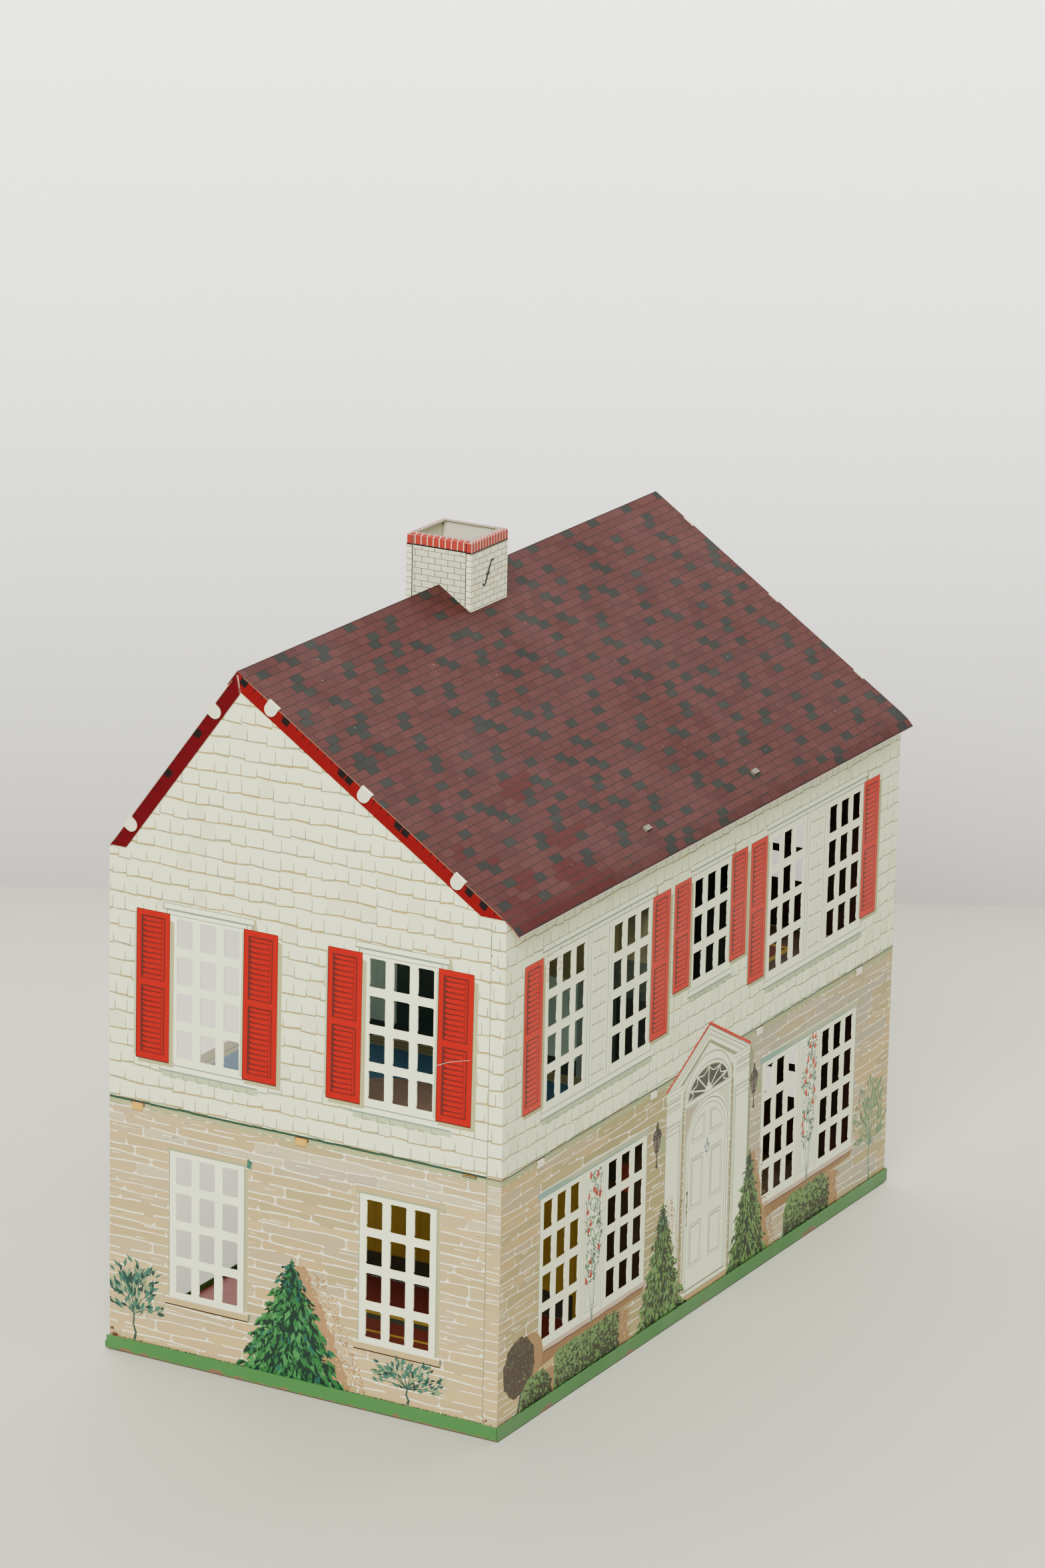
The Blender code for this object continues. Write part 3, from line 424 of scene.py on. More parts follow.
STONES = {
    "warm": ("stone_w", "stone_x", "stone_c", "stone_y"),
    "tan": ("stone_c", "stone_d", "stone_a", "stone_f"),
    "olive": ("stone_e", "stone_b", "stone_a", "stone_b"),
    "pale": ("stone_i", "stone_j", "stone_j", "stone_y"),
    "grey": ("stone_h", "stone_g", "stone_f", "stone_i"),
}


STONE_COURSE = 4.55


def stone_edge(u, row):
    """How far the line under a course of stones strays up or down."""
    return 0.6 * math.sin(u * 0.045 + row * 1.7) + 0.32 * math.sin(u * 0.16 + row * 2.9)


def stone_family(rng, where, base, zones):
    """The stone colours at this place. Warm ones turn pale higher up."""
    name = next(name for limit, name in zones if where < limit)
    if name == "warm" and base + rng.uniform(-12, 12) > 98:
        name = "pale"
    return STONES[name]


def stone_outline(rng, left, right, base, row, seam):
    """One stone with rounded ends and uneven long sides."""
    count = max(2, int((right - left) / 6.0))
    inner = [left + (right - left) * k / count for k in range(1, count)]
    round_l, round_r = rng.uniform(0.5, 1.6), rng.uniform(0.5, 1.8)
    slant = rng.uniform(-0.3, 1.6)
    thin = seam * rng.uniform(0.3, 0.62)
    bottom_l, bottom_r = stone_edge(left, row), stone_edge(right, row)
    top_l, top_r = stone_edge(left, row + 1), stone_edge(right, row + 1)
    top = base + STONE_COURSE
    points = [(left + round_l, base + bottom_l + seam * 0.3)]
    points += [(x, base + stone_edge(x, row) + thin + rng.uniform(-0.1, 0.1)) for x in inner]
    points += [(right - round_r, base + bottom_r + seam * 0.3), (right - 0.15, base + bottom_r + seam + 0.5),
               (right + slant, top + top_r - seam - 0.4), (right - round_r + slant, top + top_r - seam * 0.3)]
    points += [(x, top + stone_edge(x, row + 1) - thin + rng.uniform(-0.1, 0.1)) for x in reversed(inner)]
    points += [(left + round_l, top + top_l - seam * 0.3), (left, top + top_l - seam - 0.4),
               (left + 0.1, base + bottom_l + seam + 0.4)]
    return points


def stones(art, u0, u1, v0, v1, seed, seam, zones):
    """Coursed rubble: long stones with thin pale joints, brush streaks and a few cracks.

    zones gives, from the left, where each family of stone colours ends.
    """
    rng = random.Random(seed)
    for row in range(int(math.ceil((v1 - v0) / STONE_COURSE))):
        base = v0 + row * STONE_COURSE
        u = u0 - rng.uniform(0, 20)
        while u < u1:
            length = rng.uniform(13, 44)
            end = u + length
            family = stone_family(rng, u + rng.uniform(-22, 22), base, zones)
            ink = family[rng.randrange(4)]
            left, right = u + seam / 3, end - seam / 3
            art.area(ink, stone_outline(rng, left, right, base, row, seam))
            if rng.random() < 0.4 and length > 18:
                a = rng.uniform(left + 3, right - 10)
                b = a + rng.uniform(3, 8)
                low_a, low_b = base + stone_edge(a, row), base + stone_edge(b, row)
                art.area(ink, [(a, low_a - seam), (b, low_b - seam), (b + 0.4, low_b + 1.2),
                               (a - 0.4, low_a + 1.2)])
            for _ in range(rng.choice((0, 1, 2, 2, 3))):
                a = rng.uniform(left + 1.5, max(left + 2, right - 7))
                b = min(right - 1.2, a + rng.uniform(3, 14))
                y = base + STONE_COURSE * rng.uniform(0.25, 0.75) + stone_edge(a, row)
                if b > a + 1:
                    streak = rng.choice(("mortar", "mortar", family[0], family[1], "stone_i"))
                    middle = ((a + b) / 2, y + rng.uniform(-0.25, 0.25))
                    last = (b, y + stone_edge(b, row) - stone_edge(a, row))
                    art.line(streak, [(a, y), middle, last], rng.uniform(0.3, 0.7), 0.1)
            if rng.random() < 0.05:
                a = rng.uniform(left + 1.5, max(left + 2, right - 6))
                y = base + STONE_COURSE * 0.5 + stone_edge(a, row)
                art.line("line_grey", [(a, y), (a + 2, y + 0.5), (a + 4.5, y + 0.1)], 0.7, 0.15)
            u = end


def pane_holes(art, centre, sill, rows, cut=PANE_CORNER):
    """Openings that match the punched panes. cut is the size of the print's rounded corners."""
    half, height = PANE[0] / 2, PANE[1]
    mid = cut * 0.29
    for column in range(3):
        for row in range(rows):
            u = centre + (column - 1) * PITCH[0]
            v = sill + row * PITCH[1]
            quarter = [(half - cut, 0), (half - mid, mid), (half, cut)]
            points = [(u + x, v + y) for x, y in quarter]
            points += [(u + x, v + height - y) for x, y in reversed(quarter)]
            points += [(u - x, v + height - y) for x, y in quarter]
            points += [(u - x, v + y) for x, y in reversed(quarter)]
            art.hole(points)


def window_frame(art, u0, u1, v0, v1):
    """A white casing with a fine outline."""
    art.box("frame_line", u0 - 0.55, v0 - 0.4, u1 + 0.55, v1 + 0.4)
    art.box("frame", u0, v0, u1, v1)


def ledge(art, u0, u1, v0, v1, seed, drop=3.0):
    """A window ledge with its printed shadow."""
    rng = random.Random(seed)
    art.box("sage_band", u0 + 1.5, v0 - drop, u1 + 0.8, v0)
    u = u0 + 6
    while u < u1 - 3:
        art.box("line_grey", u, v0 - drop - 0.4, u + 0.42, v0 - 0.2)
        art.box("line_front", u, v0 - drop - 0.3, u + rng.uniform(2, 5), v0 - drop + 0.25)
        u += rng.uniform(4.5, 8)
    art.box("teal_line", u0 - 0.2, v0 - 0.6, u1 + 0.2, v0 + 0.2)
    art.box("frame", u0, v0 + 0.2, u1, v1)
    art.box("frame_line", u0 + 0.6, v1 - 0.4, u1 - 0.4, v1 + 0.05)
    art.box("frame_line", u0, v0, u0 + 0.5, v1)


def lintel(art, u0, u1, v0, v1):
    """A shallow moulding over a window, with fine lines and a short shadow at its right end."""
    art.area("cast_sage", [(u1 - 1, v0 - 3.5), (u1 + 2.2, v0 - 3.8), (u1 + 1.2, v1), (u1 - 1, v1)])
    art.box("frame", u0, v0, u1, v1)
    art.box("teal_line", u0, v0 - 0.5, u1, v0 + 0.25)
    art.box("line_grey", u0, v0 - 0.2, u0 + (u1 - u0) * 0.4, v0 + 0.15)
    art.box("frame_line", u0, v1 - 0.2, u1, v1 + 0.2)
    art.box("frame_line", u0, v0, u0 + 0.5, v1)
    art.box("frame_line", u0 + 2.0, v0 - 2.7, u1 - 2.0, v0 - 2.3)


def shutter(art, u0, v0, width, height, tilt=0.0, middle=0.495, red="red"):
    """A red louvred shutter: two panels of slats in a frame, shaded along the left.

    tilt is how far it leans right at the top. The lower panel reaches up to this middle share of the height.
    """
    def area(ink, *points):
        art.area(ink, [(u0 + x + tilt * (y / height), v0 + y) for x, y in points])

    def box(ink, x0, y0, x1, y1):
        area(ink, *rectangle(x0, y0, x1, y1))

    area("cast_sage", (1.0, -1.9), (width + 2.2, -1.7), (width + 2.1, height - 4), (width, height - 3))
    area("sage_band", (-1.3, 1.0), (0, 1.0), (0, height - 1), (-0.9, height - 2))
    box(red, 0, 0, width, height)
    box("red_line", -0.1, 0, 0.3, height)
    box("red_line", 0, -0.2, width, 0.35)
    box("red_line", 0, height - 0.25, width, height)
    box("red_line", width - 0.25, 0, width, height)
    left, right = width * 0.14, width - width * 0.155
    for low, high in ((height * 0.045, height * middle), (height * (middle + 0.045), height * 0.96)):
        box("red_line", left, low, right, high)
        box(red, left + 0.6, low + 0.5, right - 0.6, high - 0.7)
        area("red_line", (left, low), (left + 1.05, low + 0.3), (left + 1.05, high), (left, high))
        slats = max(3, int(round((high - low) / 2.36)))
        pitch = (high - low) / slats
        for slat in range(1, slats):
            y = low + slat * pitch
            area("red_line", (left + 0.9, y - 0.42), (right - 1.7, y - 0.16), (right - 1.7, y + 0.3),
                 (left + 2.8, y + 0.24), (left + 0.9, y + 0.95))
        box("red_line", right - 1.75, low, right - 1.5, high)


def stipple_shadow(art, edge, base, width, rng):
    """A printed cast shadow: a solid core that breaks into dots at its outer edge."""
    points = [edge(0.96)]
    for k in range(25):
        u, v = edge(0.96 * (1 - k / 24))
        points.append((u + width * 0.45 + rng.uniform(-1.0, 1.0), v + rng.uniform(-0.4, 0.4)))
    points.append((edge(0)[0] - width, base))
    art.area("cast", points)
    for _ in range(260):
        u, v = edge(rng.uniform(0.0, 0.95))
        reach = rng.random() ** 0.7
        solid = reach > 0.45 or rng.random() < 0.25
        ink = "cast" if solid else rng.choice(("cast_b", "orange", "stone_d", "line_sage"))
        art.disc(ink, u + width * (0.1 + reach), v + rng.uniform(-1, 1), rng.uniform(0.25, 0.85),
                 rng.uniform(0.25, 0.6), 6, rng.uniform(0, 3))


FIR_TIERS = 8


def fir(art, centre, base, width, height, seed, inks, shadow=9.0, coarse=1.0):
    """A fir tree: flared tiers of brush strokes with dark gaps under each, bluer at its tip.

    inks are the needles, the gaps, the lit needles and the tip. shadow is how wide its cast shadow is.
    """
    rng = random.Random(seed)

    def tier_phase(y):
        return ((1 - y / height) ** 0.9 * FIR_TIERS) % 1.0

    def half_width(y, flare=0.0):
        t = max(0.0, 1 - y / height)
        return width / 2 * (t ** 0.9) * (1 - flare + flare * tier_phase(y))

    def shadow_edge(t):
        return (centre + half_width(t * height) * 0.93, base + t * height)

    if shadow:
        stipple_shadow(art, shadow_edge, base, shadow, rng)
    left, right = [], []
    y = height * 0.98
    while y > 3.0:
        w = half_width(y, 0.26) * 0.95
        left.append((centre - w - rng.uniform(0, 1.2), base + y - rng.uniform(0, 0.6)))
        left.append((centre - w * 0.86 + rng.uniform(-0.5, 0.7), base + y - rng.uniform(0.7, 1.3)))
        right.append((centre + w + rng.uniform(0, 1.2), base + y - rng.uniform(0, 0.6)))
        right.append((centre + w * 0.86 + rng.uniform(-0.7, 0.5), base + y - rng.uniform(0.7, 1.3)))
        y -= rng.uniform(1.3, 2.1)
    foot = [(centre + width * 0.4, base), (centre - width * 0.4, base)]
    art.area(inks[1], [(centre, base + height)] + right + foot + list(reversed(left)))
    tip = ((0.5, inks[3]), (0.8, inks[0]), (1.0, inks[1]))
    body = ((0.5, inks[0]), (0.8, inks[2]), (0.86, inks[3]), (1.0, inks[1]))
    strokes = int(width * height * 0.3 / coarse)
    for number in range(strokes):
        t = (number + rng.random()) / strokes
        y = height * (1 - (1 - t) ** 0.55) * 0.985
        if tier_phase(y) < 0.3 and rng.random() < 0.6:
            continue
        w = half_width(y, 0.26)
        side = rng.uniform(-1, 1)
        side = math.copysign(abs(side) ** 0.8, side)
        x = side * w * 0.98
        size = coarse * (0.7 + 0.55 * min(1.0, w / (width / 2)))
        angle = -math.pi / 2 + side * rng.uniform(0.5, 1.0) + rng.uniform(-0.35, 0.35)
        ink = chance(rng, *(tip if y > height * 0.74 else body))
        art.leaf(ink, centre + x, base + y + 1.2, rng.uniform(2.4, 4.8) * size, rng.uniform(1.1, 2.0) * size,
                 angle)
        if rng.random() < 0.5:
            u, v = centre + x + rng.uniform(-1, 1), base + y + rng.uniform(-1.0, 1.0)
            art.leaf(inks[1], u, v, rng.uniform(1.9, 4.2) * size, rng.uniform(0.8, 1.5) * size,
                     angle + rng.uniform(-0.8, 0.8))
    art.leaf(inks[0], centre, base + height * 0.95, height * 0.07, 1.2, math.pi / 2)


SHRUB_INKS = ("shrub", "shrub_dark", "shrub_light")


def shrub(art, centre, base, width, height, seed, leaves, inks=SHRUB_INKS, trunk="trunk", crown=0.3):
    """A small tree: thin wavy trunk, branches and a loose cloud of pointed leaves.

    crown is the share of the height below the leaves.
    """
    rng = random.Random(seed)
    middle = base + height * (crown + (1 - crown) / 2)
    half = height * (1 - crown) / 2
    for _ in range(leaves):
        angle = rng.uniform(0, 6.28)
        radius = math.sqrt(rng.random())
        x = centre + width * 0.08 + math.cos(angle) * radius * width * 0.5
        y = middle - height * 0.04 + math.sin(angle) * radius * half
        art.leaf("cast_sage", x, y, rng.uniform(1.2, 2.6), rng.uniform(0.6, 1.3), rng.uniform(0, 6.28))
    top = base + height * (crown + 0.1)
    art.line(trunk, [(centre, base), (centre + 0.7, base + height * crown * 0.3),
                     (centre - 0.6, base + height * crown * 0.65), (centre, top)], 1.5, 0.8)
    tips = []
    for k in range(9):
        angle = math.pi * (0.06 + 0.88 * k / 8) + rng.uniform(-0.1, 0.1)
        reach = rng.uniform(0.7, 1.0)
        rise = 0.05 if k in (0, 8) else math.sin(angle) * reach * 0.95
        tip = (centre + math.cos(angle) * width * 0.46 * reach, top + (base + height - top) * rise)
        mid = (centre + (tip[0] - centre) * 0.45 + rng.uniform(-0.8, 0.8), top + (tip[1] - top) * 0.55)
        art.line(trunk, [(centre, top - height * 0.06), mid, tip], 0.8, 0.25)
        tips.append((mid, tip))
    big = min(1.0, height / 34) * min(1.0, width / 26)
    for number in range(int(leaves * 0.95)):
        if number % 2:
            mid, tip = rng.choice(tips)
            t = rng.uniform(0.1, 1.05)
            x = mid[0] + (tip[0] - mid[0]) * t + rng.uniform(-1.6, 1.6)
            y = mid[1] + (tip[1] - mid[1]) * t + rng.uniform(-1.4, 1.4)
        else:
            angle = rng.uniform(0, 6.28)
            radius = rng.random() ** 0.6
            x = centre + math.cos(angle) * radius * width * 0.48
            y = middle + math.sin(angle) * radius * half * 0.98
        ink = chance(rng, (0.45, inks[0]), (0.78, inks[1]), (1.0, inks[2]))
        outward = math.atan2(abs(y - top) + height * 0.12, x - centre)
        length = rng.uniform(3.2, 5.6) * (0.55 + 0.45 * big)
        art.leaf(ink, x, y, length, rng.uniform(1.2, 2.1) * (0.6 + 0.4 * big),
                 outward + rng.uniform(-0.7, 0.7))


def hedge(art, u0, u1, v0, v1, seed, dashes, round_ends=4.0, cast=7.0):
    """A clipped hedge: light on top, dark dabs that thicken down and to the right, and a tan cast shadow."""
    rng = random.Random(seed)
    shade = [(u1 - 4, v0)]
    for k in range(9):
        t = k / 8
        reach = cast * (0.9 + 0.1 * math.sin(9 * t))
        shade.append((u1 + reach + rng.uniform(-0.7, 0.7), v0 + (v1 - v0 - 2.5) * t))
    shade += [(u1 - 2, v1 - 1.2), (u1 - 6, v1 - 2)]
    art.area("cast", shade)
    for _ in range(int(cast * 8)):
        ink = rng.choice(("cast", "cast_b", "stone_c"))
        u, v = u1 + rng.uniform(0.3, 1.2) * cast, rng.uniform(v0, v1 - 1)
        size = rng.uniform(0.2, 0.6)
        art.disc(ink, u, v, size, size, 6)

    def top(u):
        inset = max(0.0, round_ends - (u - u0), round_ends - (u1 - u))
        return v1 - inset * inset / round_ends * 0.9

    points = []
    count = int((u1 - u0) / 1.1)
    for k in range(count + 1):
        u = u0 + (u1 - u0) * k / count
        points.append((u, top(u) + rng.uniform(-0.7, 0.6)))
    points += [(u1, v0), (u0, v0)]
    art.area("hedge", list(reversed(points)))
    for _ in range(dashes):
        u = rng.uniform(u0 + 0.3, u1 - 1.5)
        v = v0 + 1 + (top(u) - v0 - 1.5) * rng.random() ** 0.6
        art.leaf("hedge_light", u, v, rng.uniform(1.0, 2.4), rng.uniform(0.5, 0.95), rng.uniform(-0.9, 1.2))
    for _ in range(int(dashes * 2.4)):
        u = rng.uniform(u0 + 0.3, u1 - 0.6)
        t = rng.random()
        v = v0 + 0.5 + (top(u) - v0 - 1.0) * t
        depth = (1 - t) * 0.75 + (u - u0) / (u1 - u0) * 0.45
        if rng.random() > depth + 0.12:
            continue
        size = 0.6 + 1.1 * depth
        art.leaf("hedge_dark", u, v, rng.uniform(1.3, 3.0), size * rng.uniform(0.7, 1.3),
                 rng.uniform(-0.9, 1.2))
    art.box("hedge_dark", u0 + 1, v0, u1, v0 + 0.6)


def bush(art, centre, middle, radius, seed):
    """A round red-brown standard bush on a short trunk."""
    rng = random.Random(seed)
    art.disc("cast", centre + radius * 0.62, middle + 1, radius * 0.9, radius * 0.85, 22)
    foot = middle - radius - 9
    art.area("trunk", [(centre + 1.5, middle - radius * 0.9), (centre + 3.2, middle - radius),
                       (centre + 0.4, foot), (centre - 1.6, foot)])
    outline = []
    for k in range(40):
        angle = 2 * math.pi * k / 40
        r = radius * rng.uniform(0.95, 1.05)
        outline.append((centre + math.cos(angle) * r, middle + math.sin(angle) * r * 0.98))
    art.area("bush", outline)
    for _ in range(360):
        angle, r = rng.uniform(0, 6.28), radius * math.sqrt(rng.random()) * 0.97
        ink = chance(rng, (0.24, "bush_red"), (0.44, "hedge"), (0.54, "line_grey"), (1.0, "hedge_dark"))
        art.leaf(ink, centre + math.cos(angle) * r, middle + math.sin(angle) * r, rng.uniform(0.7, 1.5),
                 rng.uniform(0.35, 0.7), rng.uniform(0, 6.28))


ROSE_HEIGHT = 74.0


def roses(art, middle, v0, heads, seed, red="rose"):
    """A climbing rose: thin stems from one foot, small leaves and teardrop heads (across, height)."""
    rng = random.Random(seed)
    stems = []
    for k, lean in enumerate((-5.6, -2.4, 0.4, 2.8, 5.2)):
        points = []
        tall = ROSE_HEIGHT * (0.8 if k == 0 else 0.98)
        for step in range(10):
            t = step / 9
            sway = 0.9 * math.sin(step * 1.3 + k * 2.1) * min(1, t * 3)
            points.append((middle + lean * math.sin(min(1.0, t * 1.5) * math.pi / 2) + sway, v0 + tall * t))
        stems.append(points)
        art.line("stem" if k % 2 else "stem_teal", points, 0.42, 0.25)
    for _ in range(330):
        points = rng.choice(stems)
        t = rng.uniform(0.2, 1.0) ** 0.8 * 9
        k = min(8, int(t))
        (x0, y0), (x1, y1) = points[k:k + 2]
        x = x0 + (x1 - x0) * (t - k) + rng.uniform(-1.7, 1.7)
        y = y0 + (y1 - y0) * (t - k)
        ink = rng.choice(("stem", "stem_teal", "shrub", "fir_teal", "stem", "shrub_dark"))
        art.leaf(ink, x, y, rng.uniform(1.5, 3.0), rng.uniform(0.7, 1.15), rng.uniform(0.5, 2.7))
    for across, high in heads:
        x = middle + across
        size = rng.uniform(0.95, 1.25)
        art.disc(red, x, high, size, size * 1.15, 9)
        art.leaf(red, x, high + size * 0.3, size * 2.1, size * 1.3, 1.57 + rng.uniform(-0.5, 0.5))
        art.leaf("rose_dark", x - 0.2, high - size * 0.7, size * 1.2, 0.5, 1.3)


def lantern(art, u, v):
    """A coach lamp on a scrolled bracket with its slanting shadow."""
    def at(*points):
        return [(u + x, v + y) for x, y in points]

    art.area("line_sage", at((3, 17), (7.2, 12.5), (9, 9), (7.65, 5), (2.6, 8)))
    art.line("line_sage", at((1.4, 6), (4.6, 5.4), (5.6, 3.4), (4, 1.8), (2.4, 2.8)), 0.8)
    art.line("lantern", at((0, 8), (0.1, 0.4)), 1.1, 0.8)
    art.disc("lantern", u + 0.1, v + 0.9, 1.3, 1.0, 8)
    art.line("lantern", at((-0.9, 2.6), (1.1, 2.8)), 0.5)
    art.area("lantern", at((-1.9, 7.6), (1.9, 7.6), (3.9, 15), (-3.9, 15)))
    art.area("lantern_light", at((-1.6, 8.8), (-0.5, 8.8), (-0.6, 14.2), (-3.1, 14.2)))
    art.area("lantern_light", at((0.3, 8.8), (1.4, 8.8), (2.9, 14.2), (0.4, 14.2)))
    art.disc("lantern", u + 0.1, v + 10.8, 0.8, 1.3, 8)
    art.area("lantern", at((-4.6, 14.6), (4.6, 14.6), (2.9, 18.0), (1.1, 19.4), (-1.1, 19.4), (-2.9, 18.0)))
    art.area("lantern_light", at((-2.6, 16.2), (-0.6, 16.2), (-0.5, 18.2), (-1.7, 17.9)))
    art.disc("lantern", u, v + 20.1, 1.4, 0.8, 8)
    art.disc("lantern", u, v + 21.5, 0.9, 1.2, 8)
    art.line("lantern_light", at((-3.9, 15.2), (3.6, 15.2)), 0.35)


def grass(art, u0, u1, v0, seed, tall, ink="fir"):
    """A ragged line of grass along the foot of a wall."""
    rng = random.Random(seed)
    u = u0
    while u < u1:
        step = rng.uniform(0.7, 1.6)
        blade = rng.choice((ink, "hedge", "shrub_dark"))
        tip = (u + step * rng.uniform(0.2, 0.8), v0 + rng.uniform(0.6, tall))
        art.area(blade, [(u - 0.3, v0), (u + step + 0.3, v0), tip])
        u += step


TILE_LENGTH = 8.3
TILE_COURSE = 4.28
HALF_TAB = 3.4               # half the length of a slot in the roof


def dark_tiles(rng, first, last, columns):
    """The rows and columns of the slate-dark tiles, often in stepped pairs."""
    dark = set()
    for row in range(first, last):
        below = (-1, 0, 1, 2) if row % 2 else (-2, -1, 0, 1)
        column = rng.randint(0, 4)
        while column < columns:
            near = any((row - 1, column + k) in dark for k in below)
            if not near or rng.random() < 0.12:
                dark.add((row, column))
                if rng.random() < 0.4:
                    dark.add((row + 1, column + rng.choice((0, 1) if row % 2 else (-1, 0))))
            column += rng.randint(3, 5)
    return dark


def tiles(art, u0, u1, v0, v1, seed, origin, sheen_free=()):
    """Brick-bond roof tiles with scattered dark ones.

    The last argument lists ovals (across, up, half width, half height) where the tiles keep their deeper red;
    elsewhere the tile inks carry a painted sheen, paler and greyer.
    """
    rng = random.Random(seed)
    first = int(math.floor((v0 - origin) / TILE_COURSE))
    last = int(math.ceil((v1 - origin) / TILE_COURSE))
    columns = int((u1 - u0) / TILE_LENGTH) + 3
    dark = dark_tiles(rng, first, last, columns)
    for row in range(first, last):
        low = origin + row * TILE_COURSE
        start = u0 - TILE_LENGTH + (row % 2) * TILE_LENGTH / 2
        for column in range(-1, columns):
            u = start + column * TILE_LENGTH + rng.uniform(-0.12, 0.12)
            tone = rng.random()
            middle = (u + TILE_LENGTH / 2, low + TILE_COURSE / 2)
            unsheened = any(math.hypot((middle[0] - cu) / ru, (middle[1] - cv) / rv) < 1 + rng.uniform(-0.2, 0.2)
                        for cu, cv, ru, rv in sheen_free)
            is_dark = (row, column) in dark
            # inside an oval the tile is printed without the painted sheen
            if unsheened:
                ink = "sheen_free_dark" if is_dark else "sheen_free"
            elif is_dark:
                ink = "tile_dark" if tone < 0.6 else "tile_dark_b"
            else:
                ink = "tile_a" if tone < 0.5 else "tile_b" if tone < 0.8 else "tile_c"
            art.box(ink, u + 0.14, low + 0.22, u + TILE_LENGTH - 0.14, low + TILE_COURSE - 0.18)
            if not is_dark and rng.random() < 0.55:
                y = low + TILE_COURSE * rng.uniform(0.3, 0.7)
                art.line("joint_light", [(u + 1, y), (u + TILE_LENGTH - 1.2, y + rng.uniform(-0.2, 0.2))],
                         0.14)


BRICK_LENGTH = 6.9
BRICK_COURSE = 2.9


def bricks(art, u0, u1, v0, v1, seed, ink="brick"):
    """Small painted bricks in running bond."""
    rng = random.Random(seed)
    for row in range(int(math.ceil((v1 - v0) / BRICK_COURSE))):
        low = v0 + row * BRICK_COURSE
        u = u0 - BRICK_LENGTH + (row % 2) * BRICK_LENGTH / 2
        while u < u1:
            tone = ink if rng.random() < 0.75 else ink + "_b"
            art.box(tone, u + 0.2, low + 0.16, u + BRICK_LENGTH - 0.2, low + BRICK_COURSE - 0.16)
            u += BRICK_LENGTH


def speckle(art, u0, u1, v0, v1, count, seed, size, inks=("rust", "rust_dark")):
    """Small age spots."""
    rng = random.Random(seed)
    for _ in range(count):
        r = rng.uniform(*size)
        ink = rng.choice(inks)
        u, v = rng.uniform(u0, u1), rng.uniform(v0, v1)
        art.disc(ink, u, v, r, r * rng.uniform(0.6, 1.2), 6, rng.uniform(0, 3))


# --- Door and its surround ---

def arch(centre, base, ru, rv, start=0.0, end=math.pi, steps=22):
    """Points along part of an oval, half of it unless told otherwise."""
    angles = [start + (end - start) * k / steps for k in range(steps + 1)]
    return [(centre + ru * math.cos(angle), base + rv * math.sin(angle)) for angle in angles]


def moulding(art, points):
    """A sunk panel: two outlines, shaded between them, with the left and top darker."""
    cu = sum(p[0] for p in points) / len(points)
    cv = sum(p[1] for p in points) / len(points)
    width = max(p[0] for p in points) - min(p[0] for p in points)
    height = max(p[1] for p in points) - min(p[1] for p in points)
    for ink, inset, shift in (("door_line", 0.0, 0.0), ("frame", 0.36, 0.08), ("frame_shade", 1.0, 0.0),
                              ("line_grey", 1.45, 0.0), ("frame", 1.85, 0.12)):
        fu, fv = 1 - 2 * inset / width, 1 - 2 * inset / height
        art.area(ink, [(cu + (u - cu) * fu + shift, cv + (v - cv) * fv - shift) for u, v in points])


def pilaster(art, side):
    """A fluted pilaster with its capital, left (-1) or right (1) of the door."""
    low, high = sorted((side * 40.6, side * 24.6))
    art.box("door_line", low - 0.3, 10.5, high + 0.3, 112)
    art.box("frame", low, 10.8, high, 112)
    for ink, u, half, top in (("frame_shade", 26.0, 0.9, 100), ("door_line", 27.6, 0.27, 98),
                              ("door_line", 24.8, 0.35, 104)):
        art.box(ink, side * u - half, 11, side * u + half, top)
    low, high = sorted((side * 27.2, side * 40.8))
    for y in (94.0, 96.5, 98.2, 107.2, 109.4, 111.4):
        art.box("door_line", low, y, high, y + 0.42)
    art.box("frame_shade", low + 0.4, 98.6, high - 0.4, 99.6)
    for k in range(12):
        x = low + 0.6 + k * 1.12
        art.box("line_sage", x, 105.0, x + 0.45, 107.1)
        art.box("frame_line", x, 109.8, x + 0.5, 111.3)


def pediment(art):
    """A scalloped red edge over white mouldings and a row of brackets."""
    art.area("line_sage", [(-40, 115.4), (40.4, 115.4), (0, 138.6)])
    edge = [(-41.2 + 41.2 * k / 30, 116.6 + 22.2 * k / 30 + (0.35 if k % 2 else -0.15)) for k in range(31)]
    for k in range(1, 13):
        u, v = 41.6 * k / 12, 138.8 - 22.0 * k / 12
        edge += [(u - 1.6, v + 1.1), (u, v - 0.1)]
    art.area("red", edge + [(41.6, 115.4), (0, 137.5), (-41.2, 115.3)])
    art.area("rose_dark", [(-41, 115.4), (0, 137.6), (41.4, 115.4), (0, 137.15)])
    art.area("frame", [(-40, 112), (40, 112), (40, 115.5), (0, 136.9), (-40, 115.5)])
    for outer, inner, ink in ((135.4, 134.9, "door_line"), (133.9, 133.1, "frame_shade"),
                              (132.9, 132.5, "door_line")):
        art.area(ink, [(-39.5, outer - 20.6), (0, outer), (39.5, outer - 20.6),
                       (39.5, inner - 20.6), (0, inner), (-39.5, inner - 20.6)])
    art.area("line_sage", [(-30, 114.6), (0, 130.4), (30, 114.6), (27.6, 113.8), (0, 128.8), (-27.6, 113.8)])
    for side, ink, tall in ((-1, "line_dark", 2.6), (1, "door_line", 1.9)):
        for k in range(20):
            x = side * (1.2 + k * 1.5)
            y = 130.3 - abs(x) * 0.527
            art.area(ink, [(x - 0.4, y), (x + 0.4, y - 0.1), (x + 0.15, y - tall), (x - 0.3, y - tall)])
    art.area("frame", [(-25, 112), (25, 112), (25, 113.8), (0, 127.0), (-25, 113.8)])
    art.area("frame_shade", [(-24, 112), (-24, 114), (-2, 125.6), (-6, 121), (-19, 112)])


